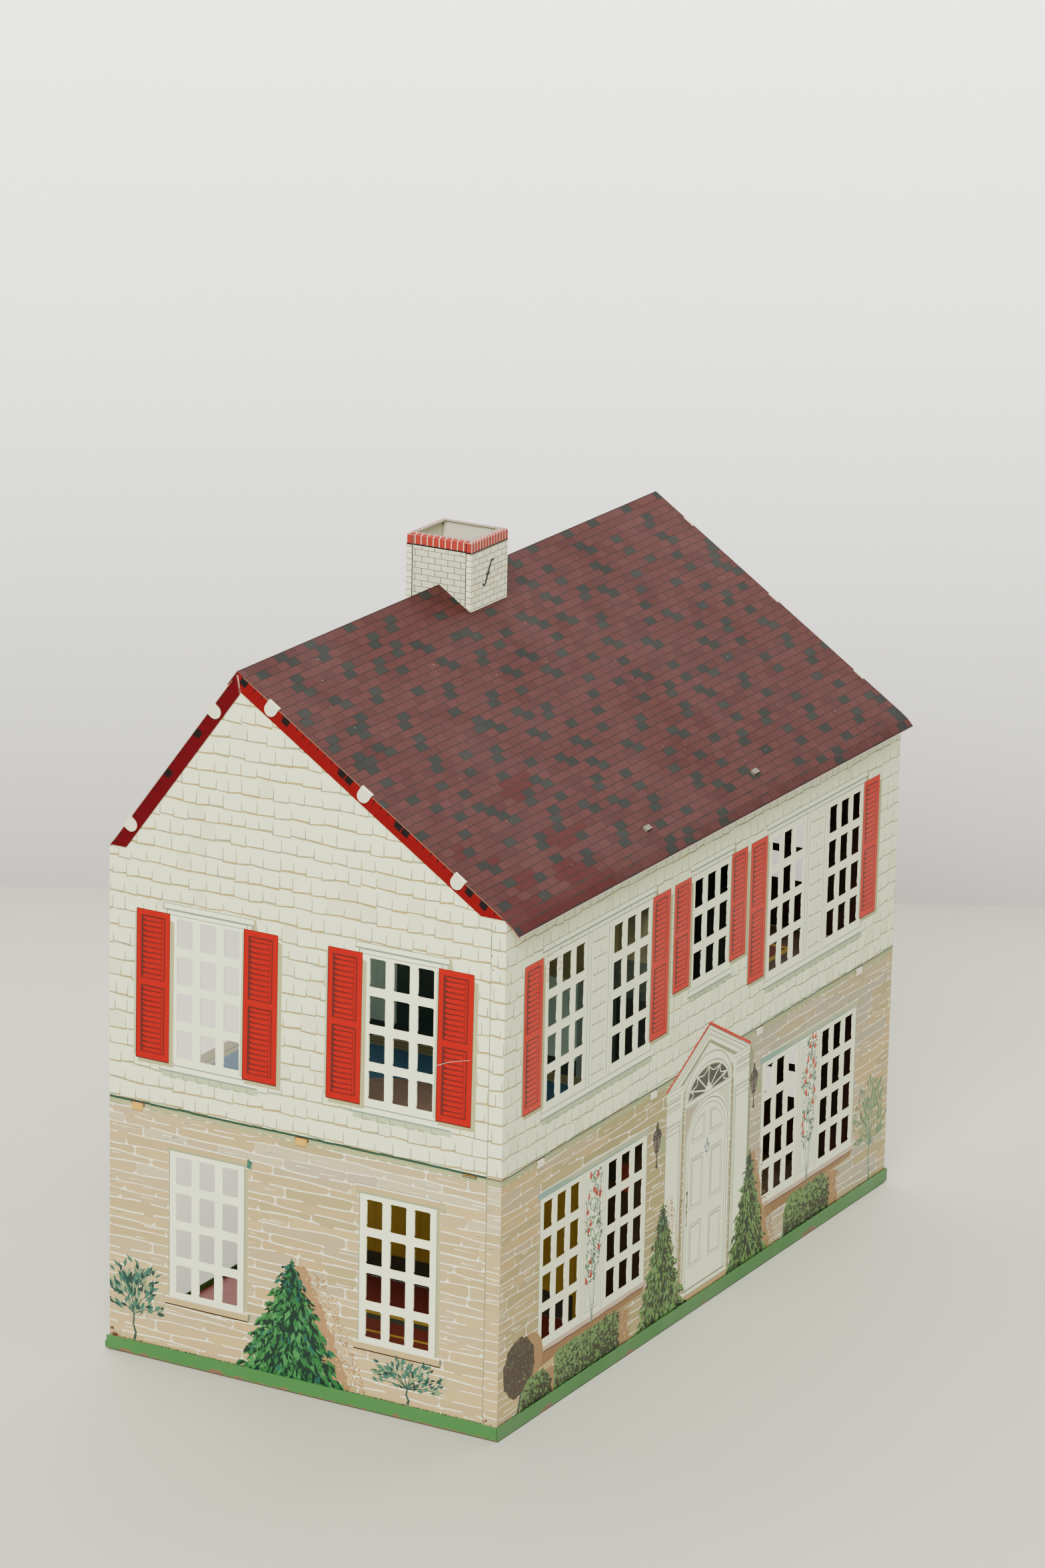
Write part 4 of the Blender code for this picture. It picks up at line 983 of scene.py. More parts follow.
def fanlight(art):
    """The arched light over the door with its fan of glazing bars."""
    for ink, ru, rv in (("stone_i", 24.0, 20.2), ("frame", 23.2, 19.4), ("door_line", 21.8, 15.6),
                        ("frame", 21.3, 15.1), ("line_sage", 20.3, 13.8)):
        art.area(ink, arch(0, 104, ru, rv))
    art.area("glass", arch(0, 105.4, 19.4, 11.9))
    bars = [math.radians(angle) for angle in (0, 22, 54, 90, 126, 158, 180)]
    for a in bars[1:-1]:
        art.line("frame", [(0, 105.4), (19.6 * math.cos(a), 105.4 + 12.0 * math.sin(a))], 0.7)
    for a, b in zip(bars[:-1], bars[1:]):
        bow = []
        for k in range(7):
            angle = a + (b - a) * (k / 6)
            reach = 0.97 - 0.2 * math.sin(math.pi * (k / 6))
            bow.append((19.4 * reach * math.cos(angle), 105.4 + 11.9 * reach * math.sin(angle)))
        art.line("frame", bow, 0.5)
    art.area("frame", arch(0, 105.4, 3.4, 3.0, steps=10))
    art.disc("frame", 0, 108.6, 1.3, 1.2, 8)


def door_leaf(art):
    """The panelled door with its knocker, handle and lock."""
    art.box("frame", -22.6, 8, 22.8, 105.4)
    art.area("frame_shade", [(-21.4, 80), (-21.4, 102.4), (-3, 102.4), (-14, 98), (-20.4, 88)])
    art.area("stone_i", [(-21.2, 86), (-21.2, 102.2), (-9, 102.2), (-16, 97), (-20.0, 90)])
    art.area("frame_shade", [(21.4, 88), (21.4, 102.4), (8, 102.4), (16, 97)])
    art.box("line_grey", -22.8, 102.6, 22.8, 103.1)
    art.box("door_line", -22.4, 104.9, 22.4, 105.2)
    art.box("cast_b", -21.8, 8, -21.3, 102.5)
    art.box("frame_line", -22.9, 8, -22.6, 105)
    art.box("frame_line", 22.6, 8, 22.9, 105)
    for ink, half, foot, spring, ru, rv in (
            ("door_line", 20.9, 12, 82.5, 20.9, 19.2), ("frame", 20.4, 12.4, 82.5, 20.4, 18.7),
            ("frame_line", 18.9, 12.4, 82.0, 18.4, 17.4), ("frame", 18.5, 12.4, 82.0, 18.0, 17.0)):
        art.area(ink, [(-half, foot), (half, foot)] + arch(0, spring, ru, rv))
    for side in (-1, 1):
        quarter = arch(side * 2.0, 83.4, 13.8, 12.6, 0 if side > 0 else math.pi, math.pi / 2, 10)
        moulding(art, [(side * 2.0, 83.4)] + quarter)
        a, b = sorted((side * 3.4, side * 15.6))
        for low, high in ((51.2, 76.4), (22.6, 43.8)):
            moulding(art, rectangle(a, low, b, high))
    art.box("door_line", -20.7, 11.6, 20.7, 12.1)
    art.box("line_grey", -22.6, 9.2, 22.6, 9.8)
    ring = [(0.2, 80.2), (-1.6, 78.6), (-1.5, 76.4), (0.2, 75.0), (1.9, 76.4), (2.0, 78.6), (0.2, 80.2)]
    art.line("knocker", [(0.2, 82.4), (0.2, 73.0)], 0.6, 0.3)
    art.line("knocker", ring, 0.75)
    art.line("knocker", [(-2.7, 78.3), (2.9, 78.3)], 0.45)
    art.disc("knocker", 0.2, 81.2, 0.7, 0.9, 8)
    art.disc("lantern", -18.4, 60.5, 0.9, 1.2, 8)
    art.line("lantern", [(-18.2, 59.5), (-18.0, 55), (-18.9, 51), (-18.1, 45.5)], 0.9, 0.5)
    art.line("lantern", [(-19.5, 55.5), (-17.7, 50.5)], 0.5)
    art.disc("lantern", -18.3, 44.8, 0.55, 0.8, 8)
    art.disc("lantern", -23.2, 58.5, 0.6, 0.8, 6)


def door(art):
    """The front door with fanlight, pilasters and pediment, drawn about the door's middle."""
    # shadow of the surround on the wall
    art.area("door_shadow", [(38, 11), (42.6, 12), (43.0, 100), (45.5, 110), (41.4, 116), (38, 100)])
    for side in (-1, 1):
        pilaster(art, side)
    art.box("sill_line", -25.6, 11, -25.25, 60)
    art.box("cast_b", -24.6, 11, -24.2, 96)
    art.line("cast_b", [(-41.0, 12), (-40.8, 40), (-41.0, 76), (-40.8, 108)], 0.5, 0.35)
    pediment(art)
    fanlight(art)
    # cornice under the pediment
    for side in (-1, 1):
        for ink, inner, outer, low, high in (("frame", 23, 41, 111.6, 115.4),
                                             ("door_line", 23.5, 41.2, 113.2, 113.5),
                                             ("door_line", 23.5, 40.4, 115.2, 115.5)):
            a, b = sorted((side * inner, side * outer))
            art.box(ink, a, low, b, high)
    door_leaf(art)


# --- Panels of the house ---

UP = (0, 0, 1)
SIDES = {-1: "left", 1: "right"}
WALL_FOOT = 1.5
WALL_EDGE = 239.0


def tab_slot(art, u, rim):
    """A punched slot for one of the upper floor's tabs, with a rusty rim."""
    art.area("rust_dark", [(u + x, v) for x, v in rim])
    art.hole(rectangle(u - 3.1, 120.3, u + 3.1, 121.3))


ALL_WARM = ((1000.0, "warm"),)


def wall_ground(art, u0, u1, top, seed, warm, zones=ALL_WARM, warm_until=None, seam=0.5, line="storey"):
    """Stones below, shingles above and the line between them."""
    art.box("mortar", u0, 0, u1, STOREY - 1)
    stones(art, u0, u1, 5.2, STOREY - 1.0, seed, seam=seam, zones=zones)
    art.box("shingle", u0, STOREY, u1, top)
    shingles(art, u0, u1, STOREY + 0.6, top, seed + 1, warm=warm, warm_until=warm_until)
    art.box("cast_sage", u0, STOREY - 2.6, u1, STOREY - 0.9)
    art.box("line_sage", u0, STOREY - 1.5, u1, STOREY - 0.3)
    rng = random.Random(seed + 2)
    dark = line == "storey_dark"
    u = u0
    while u < u1:
        step = rng.uniform(4, 12)
        art.box("line_sage", u, STOREY - 3.3, min(u + step * 0.7, u1), STOREY - 2.5)
        drop = rng.uniform(-0.15, 0.15)
        ink = line if dark or rng.random() < 0.66 else "storey_brown"
        art.box(ink, u, STOREY - (0.7 if dark else 0.4) + drop, min(u + step, u1), STOREY + 0.45 + drop)
        u += step


def front_window_pair(art, left, right, seed):
    """Upper pair of windows with shutters, and the lower pair round its rose panel."""
    # upper pair
    window_frame(art, left - 20.5, left + 20.0, 142.4, 214.4)
    window_frame(art, right - 20.0, right + 20.5, 142.4, 214.4)
    art.box("frame", left + 18.0, 142.4, right - 18.0, 214.4)
    art.box("shingle", left + 23.4, 143.5, right - 22.4, 213.6)
    rng = random.Random(seed)
    for row in range(9):
        y = 146.6 + row * 7.75
        a, b = left + 24.0, right - 23.0
        sag = rng.uniform(-0.3, 0.3)
        art.area("line_front", [(a, y), (b, y + sag), (b, y + sag + 0.5), (a, y + 0.55)])
        art.area("line_grey", [(a, y - 0.1), (a + 1.6, y), (a + 0.3, y + 1.0), (a, y + 1.0)])
        x = rng.uniform(a + 2, b - 2)
        art.area("line_front", [(x - 0.2, y + 0.3), (x + 0.25, y + 0.3), (x + 0.1, y + 4.6),
                                (x - 0.1, y + 4.6)])
    for u in (left + 18.9, left + 21.6, right - 21.4):
        art.box("teal_line", u, 143.2, u + 0.5, 214)
    for u in (left - 20.4, right + 20.3, right - 18.6):
        art.box("line_grey", u, 142.8, u + 0.28, 214)
    lintel(art, left - 22.3, right + 22.3, 217.0, 219.6)
    ledge(art, left - 21.3, right + 21.3, 139.4, 142.4, seed=seed)
    shutter(art, left - 37.8, 146.1, 16.5, 68.6)
    shutter(art, right + 19.1, 146.1, 16.8, 68.6, 0.3)
    # lower pair
    art.box("frame_line", left - 19.9, 30.2, right + 20.1, 102.2)
    window_frame(art, left - 19.3, right + 19.5, 30.4, 101.8)
    art.box("lintel_sage", left - 21.6, 101.9, right + 21.6, 105.0)
    art.box("lintel_teal", left - 21.6, 101.8, right + 10, 102.7)
    art.area("lintel_teal", [(left - 21.8, 101.6), (left - 12, 102.2), (left + 12, 103.4), (left - 10, 105.0),
                             (left - 21.8, 105.2)])
    art.box("mortar", left - 20.6, 105.0, right + 21.4, 105.5)
    art.area("cast_sage", [(right + 21.2, 106.0), (right + 25.5, 103.4), (right + 23.5, 101.6),
                           (right + 20.8, 102.2)])
    for u in (left + 18.7, left + 21.0, right - 21.4, right - 19.2):
        art.box("frame_line", u, 31.5, u + 0.35, 101)
    art.box("frame_line", left + 22.6, 34.0, right - 22.8, 97.5)
    art.box("frame", left + 22.95, 34.4, right - 23.1, 97.1)
    art.box("frame_line", left + 24.2, 35.8, right - 24.4, 95.8)
    art.box("frame", left + 24.5, 36.1, right - 24.7, 95.5)
    art.area("cast_b", [(left - 21.5, 21.5), (left - 4, 23), (right + 18, 25.6), (right + 20.3, 28.2),
                        (left - 21.5, 28.2)])
    wavy = [(left - 22.5 + k * (right - left + 44) / 14, 28.1 + rng.uniform(-0.25, 0.25)) for k in range(15)]
    art.box("sill_stone", left - 22.3, 28.1, right + 21.6, 31.2)
    art.line("sill_line", wavy, 0.8, 0.6)
    art.box("mortar", left - 22.3, 30.7, right + 21.6, 31.3)


ROSE_HEADS = ((-3.7, 98.4), (2.7, 97.2), (-0.2, 90.7), (2.1, 88.7), (-4.9, 88.7), (5.1, 87.2), (-6.1, 81.7),
              (-2.8, 75.4), (-4.9, 72.5), (5.1, 61.9), (-2.6, 57.2), (-1.7, 50.7), (-5.9, 48.6))
ROSE_HEADS_RIGHT = ((1.6, 100.2), (4.6, 99.4), (-0.6, 96.0), (4.3, 94.6), (-2.4, 89.6), (3.7, 87.0),
                    (5.3, 84.2), (-3.6, 84.0), (0.2, 80.2), (-4.6, 79.4), (-3.2, 72.8), (5.4, 72.0),
                    (4.2, 66.4), (-4.4, 61.8), (-6.0, 57.8), (-4.9, 53.6))


def front_openings(art):
    """Every punched pane of the front wall, then its tab slots."""
    for centre in FRONT_WINDOWS:
        pane_holes(art, centre, UPPER_SILL, 4)
        pane_holes(art, centre, LOWER_SILL, 4)
    pane_holes(art, MIDDLE_WINDOW, UPPER_SILL + PITCH[1], 3)
    for x in (-155.8, -51.9, 51.9, 155.8):
        tab_slot(art, x + PRINT_SHIFT, ((-3.4, 119.9), (3.9, 119.7), (3.7, 121.7), (-3.3, 121.7)))


def dry_growth(art, left, rng):
    """Wiry brown growth on the ground, right of the left fir."""
    for _ in range(520):
        t = rng.random()
        u = left + (150 + 4 * t + (26 - 20 * t) * rng.random() ** 1.1)
        ink = rng.choice(("orange", "stone_d", "cast", "orange"))
        art.leaf(ink, u, 8 + 54 * t + rng.uniform(-2, 2), rng.uniform(1.0, 2.6), rng.uniform(0.35, 0.7),
                 rng.uniform(1.1, 2.4))
    art.area("cast", [(left + 152, 58), (left + 157, 50), (left + 168, 8), (left + 140, 8)])
    art.box("stone_d", left + 166, 7, left + 220, 9.4)


def front_planting(art, left):
    """Climbing roses, then hedges, firs, shrubs and grass along the foot, from the left."""
    roses(art, left + 84.8, 27, ROSE_HEADS, 21)
    roses(art, left + 297.0, 27, ROSE_HEADS_RIGHT, 22, red="rose_bright")
    bush(art, left + 18.6, 28.6, 14.2, 31)
    hedge(art, left + 20.5, left + 48, 6.5, 20.5, 32, 130, round_ends=9.0)
    hedge(art, left + 50.6, left + 110.5, 6.5, 25.2, 33, 330, cast=10.0)
    fir(art, left + 150.6, 6.5, 48, 56.5, 34, ("fir_olive", "fir_deep", "fir_light", "fir_teal"), shadow=0.0)
    fir(art, left + 236.0, 6.5, 42, 56.5, 35, ("fir_olive", "fir_deep", "fir_light", "fir_front"))
    hedge(art, left + 273.5, left + 321.5, 6.5, 26, 36, 280, round_ends=8.0, cast=9.0)
    shrub(art, left + 364.5, 7, 34, 52, 37, 230, ("shrub_light", "leaf_olive", "stem"), trunk="stem_teal")
    grass(art, -HALF, HALF, 6.2, 38, 1.1, ink="fir_dark")


def front_art():
    """The front wall: shuttered windows, the door, lamps and planting."""
    art = Print("print_front_wall", (0, FRONT_Y, 0), (1, 0, 0), UP,
                rectangle(-HALF, WALL_FOOT, HALF, WALL_EDGE), "mortar")
    zones = ((-128.0, "tan"), (5.0, "olive"), (150.0, "grey"), (1000.0, "tan"))
    wall_ground(art, -HALF, HALF, WALL_EDGE, 11, 0.12, zones, -158.0)
    left = -HALF
    front_window_pair(art, FRONT_WINDOWS[0], FRONT_WINDOWS[1], 5)
    front_window_pair(art, FRONT_WINDOWS[2], FRONT_WINDOWS[3], 6)
    # middle window
    centre = MIDDLE_WINDOW
    window_frame(art, centre - 20.2, centre + 20.2, 159.6, 214.4)
    lintel(art, centre - 21.5, centre + 21.5, 217.0, 219.6)
    ledge(art, centre - 21, centre + 21, 156.8, 159.6, 7, 2.0)
    shutter(art, centre - 36.0, 162.7, 15.9, 52.0, middle=0.5)
    shutter(art, centre + 19.2, 162.7, 15.9, 52.0, middle=0.5)
    art.at(left + 192.4, 0)
    door(art)
    art.at(0, 0)
    rng = random.Random(4)
    dry_growth(art, left, rng)
    for across in (143.2, 238.4):
        lantern(art, left + across, 82.5)
    front_planting(art, left)
    # worn print beside the left window's shutter
    for _ in range(46):
        u, v = left + (36 + 14 * rng.random()), 203 + 12 * rng.random()
        ink = rng.choice(("pale_rust_and_highlight", "blush"))
        art.disc(ink, u, v, rng.uniform(0.2, 0.9), rng.uniform(0.3, 1.2), 6, rng.uniform(0, 3))
    speckle(art, -HALF + 4, HALF - 4, 124, 236, 46, 41, (0.12, 0.3))
    speckle(art, -HALF + 4, -HALF + 60, 124, 236, 14, 42, (0.2, 0.6), ("line_grey", "pale_rust_and_highlight"))
    front_openings(art)
    art.build()


def flange_art(side):
    """The front wall's flange, wrapped onto the gable."""
    u0, u1 = sorted((0, side * CORNER_FLANGE))
    art = Print(f"print_front_flange_{SIDES[side]}", (side * HALF, FRONT_Y, 0), (0, side, 0), UP,
                rectangle(u0, WALL_FOOT, u1, WALL_EDGE), "mortar")
    wall_ground(art, u0, u1, WALL_EDGE, 61 + side, 0.8)
    # a dark line down the flange's edge: painted shade in the seam where it lies over the gable
    edge = side * CORNER_FLANGE
    a, b = sorted((edge, edge - side * 0.35))
    art.box("line_dark", a, WALL_FOOT, b, WALL_EDGE)
    rng = random.Random(9)
    for _ in range(12):
        ink = rng.choice(("rust", "pale_rust_and_highlight", "rust_dark"))
        u, v = rng.uniform(u0, u1), rng.uniform(214, 228)
        art.disc(ink, u, v, rng.uniform(0.12, 0.4), rng.uniform(0.12, 0.5), 6)
    speckle(art, u0, u1, 2, 12, 14, 71, (0.3, 0.9))
    art.build()


def gable_window(art, centre, side):
    """Upper window with shutters, and the lower window under it."""
    window_frame(art, centre - 21.2, centre + 20.0, 142.8, 214.6)
    art.box("line_sage", centre - 20.5, 143.2, centre - 20.1, 214.2)
    lintel(art, centre - 23.6, centre + 23.6, 215.3, 217.9)
    ledge(art, centre - 25.4, centre + 25.4, 139.6, 142.6, int(centre))
    tilt = 0.6 if side < 0 else 0.2
    shutter(art, centre - 38.0, 142.9, 17.6, 70.2, tilt, red="red_deep")
    shutter(art, centre + 17.9, 142.9, 17.8, 70.2, tilt, red="red_deep")
    # lower window
    art.box("stone_c", centre - 22, 102.1, centre + 22, 105.6)
    art.box("mortar", centre - 22.4, 105.3, centre + 22.4, 105.9)
    wavy = [(centre - 22.6, 106.4), (centre - 8, 106.1), (centre + 8, 106.3), (centre + 22.6, 106.0)]
    art.line("line_grey", wavy, 0.3)
    art.box("line_sage", centre - 21.4, 101.7, centre + 21.4, 102.9)
    near_shrub = "shrub" if centre < GABLE_MIDDLE else "cast_sage"
    for ink, points in (
            ("line_grey", ((20.5, 101.6), (24.0, 100.6), (23.2, 104.4), (21.2, 105.4))),
            (near_shrub, ((21.2, 106.2), (23.8, 104.6), (22.6, 101.2), (20.8, 101.8))),
            ("cast_sage", ((19, 32), (21.6, 34), (21.4, 101), (19, 101)))):
        art.area(ink, [(centre + u, v) for u, v in points])
    window_frame(art, centre - 19.6, centre + 19.4, 31.6, 101.8)
    art.box("rust_dark", centre - 22.3, 27.9, centre + 22.3, 28.8)
    art.area("line_dark", [(centre + 21.6, 28), (centre + 23.2, 30), (centre + 23.0, 31.8),
                           (centre + 21.8, 31.6)])
    art.box("stone_c", centre - 22.6, 28.6, centre + 21.8, 32.0)
    art.box("mortar", centre - 22.6, 31.4, centre + 21.8, 32.1)


def gable_art(side):
    """A gable's outside. The right one's plants and outline are the left one's, mirrored."""
    front_edge = DEPTH - LAYER
    peak = DEPTH - (RIDGE_Y - FRONT_Y)
    outline = [(0.05, WALL_FOOT), (front_edge, WALL_FOOT), (front_edge, WALL_TOP - 0.9),
               (peak, RIDGE_TOP - 1.9),
               (0.05, WALL_TOP - 1.7)]
    if side > 0:
        outline = [(DEPTH - u, v) for u, v in reversed(outline)]
    art = Print(f"print_{SIDES[side]}_gable", (side * GABLE_X, REAR_Y if side < 0 else FRONT_Y, 0),
                (0, side, 0), UP,
                outline, "mortar")
    zones = ((70.0, "warm"), (110.0, "tan"), (1000.0, "warm"))
    wall_ground(art, 0, DEPTH, RIDGE_TOP, 101 if side < 0 else 151, 0.72, zones, seam=0.7, line="storey_dark")
    for centre in GABLE_WINDOWS:
        gable_window(art, centre, side)
    art.at(DEPTH if side > 0 else 0, 0, side > 0)
    shrub(art, 13.5, 7, 29, 37, 111, 190)
    fir(art, 96.4, 6.5, 56, 56.5, 112, ("fir", "fir_deep_g", "fir_bright", "fir_blue"), 13.0, 1.3)
    shrub(art, 157, 7, 38, 19.5, 113, 170, crown=0.34)
    grass(art, 0, DEPTH, 6.2, 114, 1.0)
    for u, v, size in ((3, 7, 1.6), (8, 6, 1.2), (1.5, 10, 1.0), (17, 6.5, 0.8)):
        art.disc("pale_rust_and_highlight", u, v, size * 1.6, size, 9)
        art.disc("rust", u, v, size, size * 0.6, 8)
    art.at(0, 0)
    speckle(art, 3, DEPTH - 4, 124, 300, 30, 120 + side, (0.12, 0.32))
    art.line("scratch", [(162, 165), (175, 171), (186, 174)], 0.2, 0.1)
    for centre in GABLE_WINDOWS:
        pane_holes(art, centre, UPPER_SILL, 4, 1.0)
        pane_holes(art, centre, LOWER_SILL, 4, 1.0)
    for distance in (16.5, 102.0, 188.0):
        tab_slot(art, DEPTH - distance if side < 0 else distance,
                 ((-3.5, 119.8), (3.8, 119.8), (3.6, 121.7), (-3.4, 121.7)))
    art.build()


FRONT_TABS = (28.0, 84.4, 141.0)      # middles of a gable's tabs, up the front slope from the eave
REAR_TABS = (22.6, 95.6)              # and down the rear slope from the ridge
RIDGE_FLANGE = 8.4
CHIMNEY_X = -1.4
CHIMNEY_OPENING = 16.2                # half the width of the gap it leaves in the roof
# Ovals on the front slope where the tiles keep their deeper red, free of the painted sheen: across from its
# left edge, up, half width, half height
SHEEN_FREE_RED = ((89, 55, 12, 8), (84, 24, 14, 6), (71, 6.5, 15, 6), (12, 3, 16, 5), (14, 38, 6, 5),
             (24, 26, 6, 5), (34, 15, 7, 5))


def roof_print(name, origin, across, up, v0, v1):
    """A strip of roof from gable to gable."""
    return Print(name, origin, across, up, rectangle(-HALF, v0, HALF, v1), "joint", finish="roof")


def edge_slots(art, distances):
    """Openings at both gables where their tabs come through the roof."""
    for distance in distances:
        for side in (-1, 1):
            a, b = sorted((side * (HALF + 1), side * (HALF - 1.45)))
            art.hole(rectangle(a, distance - HALF_TAB, b, distance + HALF_TAB))


def front_slope():
    """Front roof slope with its slots and the opening for the chimney."""
    slope = roof_print("print_front_slope", (0, FRONT_Y, WALL_TOP), (1, 0, 0), UP_FRONT, 0, FRONT_SLOPE)
    unsheened = tuple((across - HALF, up, wide, high) for across, up, wide, high in SHEEN_FREE_RED)
    tiles(slope, -HALF, HALF, 0, FRONT_SLOPE, 201, 0.6, unsheened)
    rng = random.Random(12)
    for _ in range(26):
        u, v = rng.uniform(-170, 180), rng.uniform(8, 155)
        slope.disc("scratch", u, v, rng.uniform(0.15, 0.35), 0.12, 5)
    edge_slots(slope, FRONT_TABS)
    for x in PARTITIONS:
        slope.box("rust_dark", x - 1.2, 6.2, x + 7.1, 10.2)
        slope.hole(rectangle(x - 0.8, 6.6, x + 6.4, 9.8))
    low = (RIDGE_Y - 16.7 - FRONT_Y) / UP_FRONT.y
    slope.hole(rectangle(CHIMNEY_X - CHIMNEY_OPENING, low, CHIMNEY_X + CHIMNEY_OPENING, FRONT_SLOPE + 5))
    slope.build()


def eave_art():
    """The eave strip below the front slope, in two bends."""
    fold = Vector((0, FRONT_Y, WALL_TOP))
    bend = Vector((0, FRONT_Y - 0.52 * 6.5, WALL_TOP - 0.42 * 6.0))
    tip = Vector((0, FRONT_Y - 6.5, WALL_TOP - 6.0))
    reach = 0.0
    for name, high, low in (("upper", fold, bend), ("lower", bend, tip)):
        size = (high - low).length
        reach += size
        strip = roof_print("print_eave_" + name, low, (1, 0, 0), (high - low).normalized(), 0, size)
        # the oval near the left end keeps the tiles' deeper red, free of the painted sheen
        tiles(strip, -HALF, HALF, 0, size, 202, 0.6 + reach - 3 * TILE_COURSE, ((-150, 3, 45, 30),))
        if name == "lower":
            strip.box("tin", -HALF, 0, HALF, 0.25)
        strip.build()


def ridge_art():
    """The front roof's flange over the ridge, and the rear slope one layer lower."""
    left, right = -CHIMNEY_X - CHIMNEY_OPENING, -CHIMNEY_X + CHIMNEY_OPENING
    ridge = Vector((0, RIDGE_Y, RIDGE_TOP))
    flange = roof_print("print_ridge_flange", ridge, (-1, 0, 0), UP_REAR, -RIDGE_FLANGE, 0)
    tiles(flange, -HALF, HALF, -RIDGE_FLANGE, 0, 203, -8.3)
    flange.hole(rectangle(left, -8.5, right, 1))
    flange.build()
    start = ridge - Vector((-1, 0, 0)).cross(UP_REAR) * LAYER
    rear = roof_print("print_rear_slope", start, (-1, 0, 0), UP_REAR, -REAR_SLOPE, -8.6)
    tiles(rear, -HALF, HALF, -REAR_SLOPE, -8.5, 204, -REAR_SLOPE)
    edge_slots(rear, [-distance for distance in REAR_TABS])
    for x in PARTITIONS:
        v = -(REAR_SLOPE - 14)
        rear.box("rust_dark", -x - 7.1, v - 2.0, -x + 1.2, v + 2.0)
        rear.hole(rectangle(-x - 6.4, v - 1.6, -x + 0.8, v + 1.6))
    reach = (16.7 - LAYER * 0.8) / abs(UP_REAR.y)
    rear.hole(rectangle(left, -reach, right, 1))
    rear.build()


RAKE_DEPTH = 6.6


def rake_art(side):
    """The roof's flanges down both slopes of one gable: red, with dark marks where tiles end.

    u runs along the slope and v square to it, down into the flange.
    """
    # how far short of the ridge the two flanges meet
    turn = math.acos(max(-1, min(1, UP_FRONT.dot(-UP_REAR))))
    back = RAKE_DEPTH * math.tan(turn / 2)
    square_rear = Vector((0, UP_REAR.z, -UP_REAR.y))
    foot = 0.5 / UP_FRONT.z
    inner_foot = (0.5 + RAKE_DEPTH * UP_FRONT.y) / UP_FRONT.z
    end = REAR_SLOPE - 0.5 / abs(UP_REAR.z)
    inner_end = REAR_SLOPE - (0.5 + RAKE_DEPTH * square_rear.z) / abs(UP_REAR.z)
    ridge = Vector((side * HALF, RIDGE_Y, RIDGE_TOP))

    def turned(points):
        """The points as they stand on the right gable, or mirrored for the left one."""
        return points if side > 0 else [(-u, v) for u, v in reversed(points)]

    rng = random.Random(31 + side)
    for name, origin, across, up, points, ink, start, stop, tabs in (
            ("front", (side * HALF, FRONT_Y, WALL_TOP), UP_FRONT, Vector((0, -UP_FRONT.z, UP_FRONT.y)),
             [(foot, 0), (inner_foot, -RAKE_DEPTH), (FRONT_SLOPE - back - 0.5, -RAKE_DEPTH),
              (FRONT_SLOPE - 0.4, 0)],
             "rake_red", 2, FRONT_SLOPE - 4, FRONT_TABS),
            ("rear", ridge - square_rear * LAYER, -UP_REAR, square_rear,
             [(back + 1.4, -RAKE_DEPTH), (inner_end, -RAKE_DEPTH), (end, 0), (1.6, 0)],
             "rake_deep", 5, REAR_SLOPE - 3, REAR_TABS)):
        art = Print(f"print_{name}_rake_{SIDES[side]}", origin, across * side, up, turned(points), ink,
                    finish="roof")
        rake_marks(art, turned, start, stop, rng)
        for tab in tabs:
            low, high = tab - HALF_TAB, tab + HALF_TAB
            art.hole(turned([(low, 1), (low, -0.45), (high, -0.45), (high, 1)]))
        art.build()


def rake_marks(art, turned, start, end, rng):
    """Dark wedges along the fold, and a pale line on it: a painted highlight on the fold."""
    u = start
    while u < end:
        if rng.random() < 0.24:
            wedge = [(u + 0.2, -3.6), (u + 3.9, -3.4), (u + 4.0, 0), (u, 0)]
        else:
            wedge = [(u - 0.1, -2.6), (u + 0.7, -0.2), (u + 0.7, 0), (u - 0.1, 0)]
        art.area("rake_black", turned(wedge))
        u += TILE_COURSE
    # a painted highlight along the fold
    art.area("pale_rust_and_highlight", turned(rectangle(start, -0.22, end, -0.02)))


CHIMNEY_HALF = (16.5, 17.2)           # half its width and half its depth
CHIMNEY_TOP = 352.2
CHIMNEY_ROLL = 0.8                    # rounding of the rim
BRICK_TOP = 347.1                     # bricks end here, and the soldier course starts just above
SOLDIER_FOOT = 347.3
SIDE_FLANGE = 3.2                     # the faces' flanges on the chimney's sides
SEAM = 0.45
FRONT_RISE = (RIDGE_TOP - WALL_TOP) / (RIDGE_Y - FRONT_Y)
REAR_RISE = (RIDGE_TOP - WALL_TOP) / (REAR_Y - RIDGE_Y)
SOLDIER_PITCH = (2.54, 3.2)           # on the front and rear, and on the sides


def chimney_print(name, origin, across, up, outline, ink="brick_line"):
    """One face of the chimney."""
    return Print("print_chimney_" + name, origin, across, up, outline, ink, body="chimney")


def chimney_face(facing, name, foot):
    """The chimney's front (-1) or rear (1) face. The front has a wall anchor."""
    half, top = CHIMNEY_HALF[0], CHIMNEY_TOP - CHIMNEY_ROLL
    art = chimney_print(name, (CHIMNEY_X, RIDGE_Y + facing * CHIMNEY_HALF[1], 0), (-facing, 0, 0), UP,
                        rectangle(-half, foot, half, top))
    bricks(art, -half, half, foot - 2, BRICK_TOP, 301 + facing)
    soldier(art, -half, half, SOLDIER_FOOT, top, SOLDIER_PITCH[0])
    if facing < 0:
        art.line("anchor", [(3.9, 339.4), (3.0, 340.4), (1.4, 339.6), (-0.2, 336.8), (-1.5, 334.2)], 1.0, 2.0)
        art.line("anchor", [(-1.5, 334.6), (-2.7, 331.8), (-4.2, 329.7), (-5.6, 329.8), (-6.3, 331.0)], 2.0,
                 1.0)
        art.disc("anchor", -1.5, 334.3, 1.9, 0.9, 8)
    art.build()


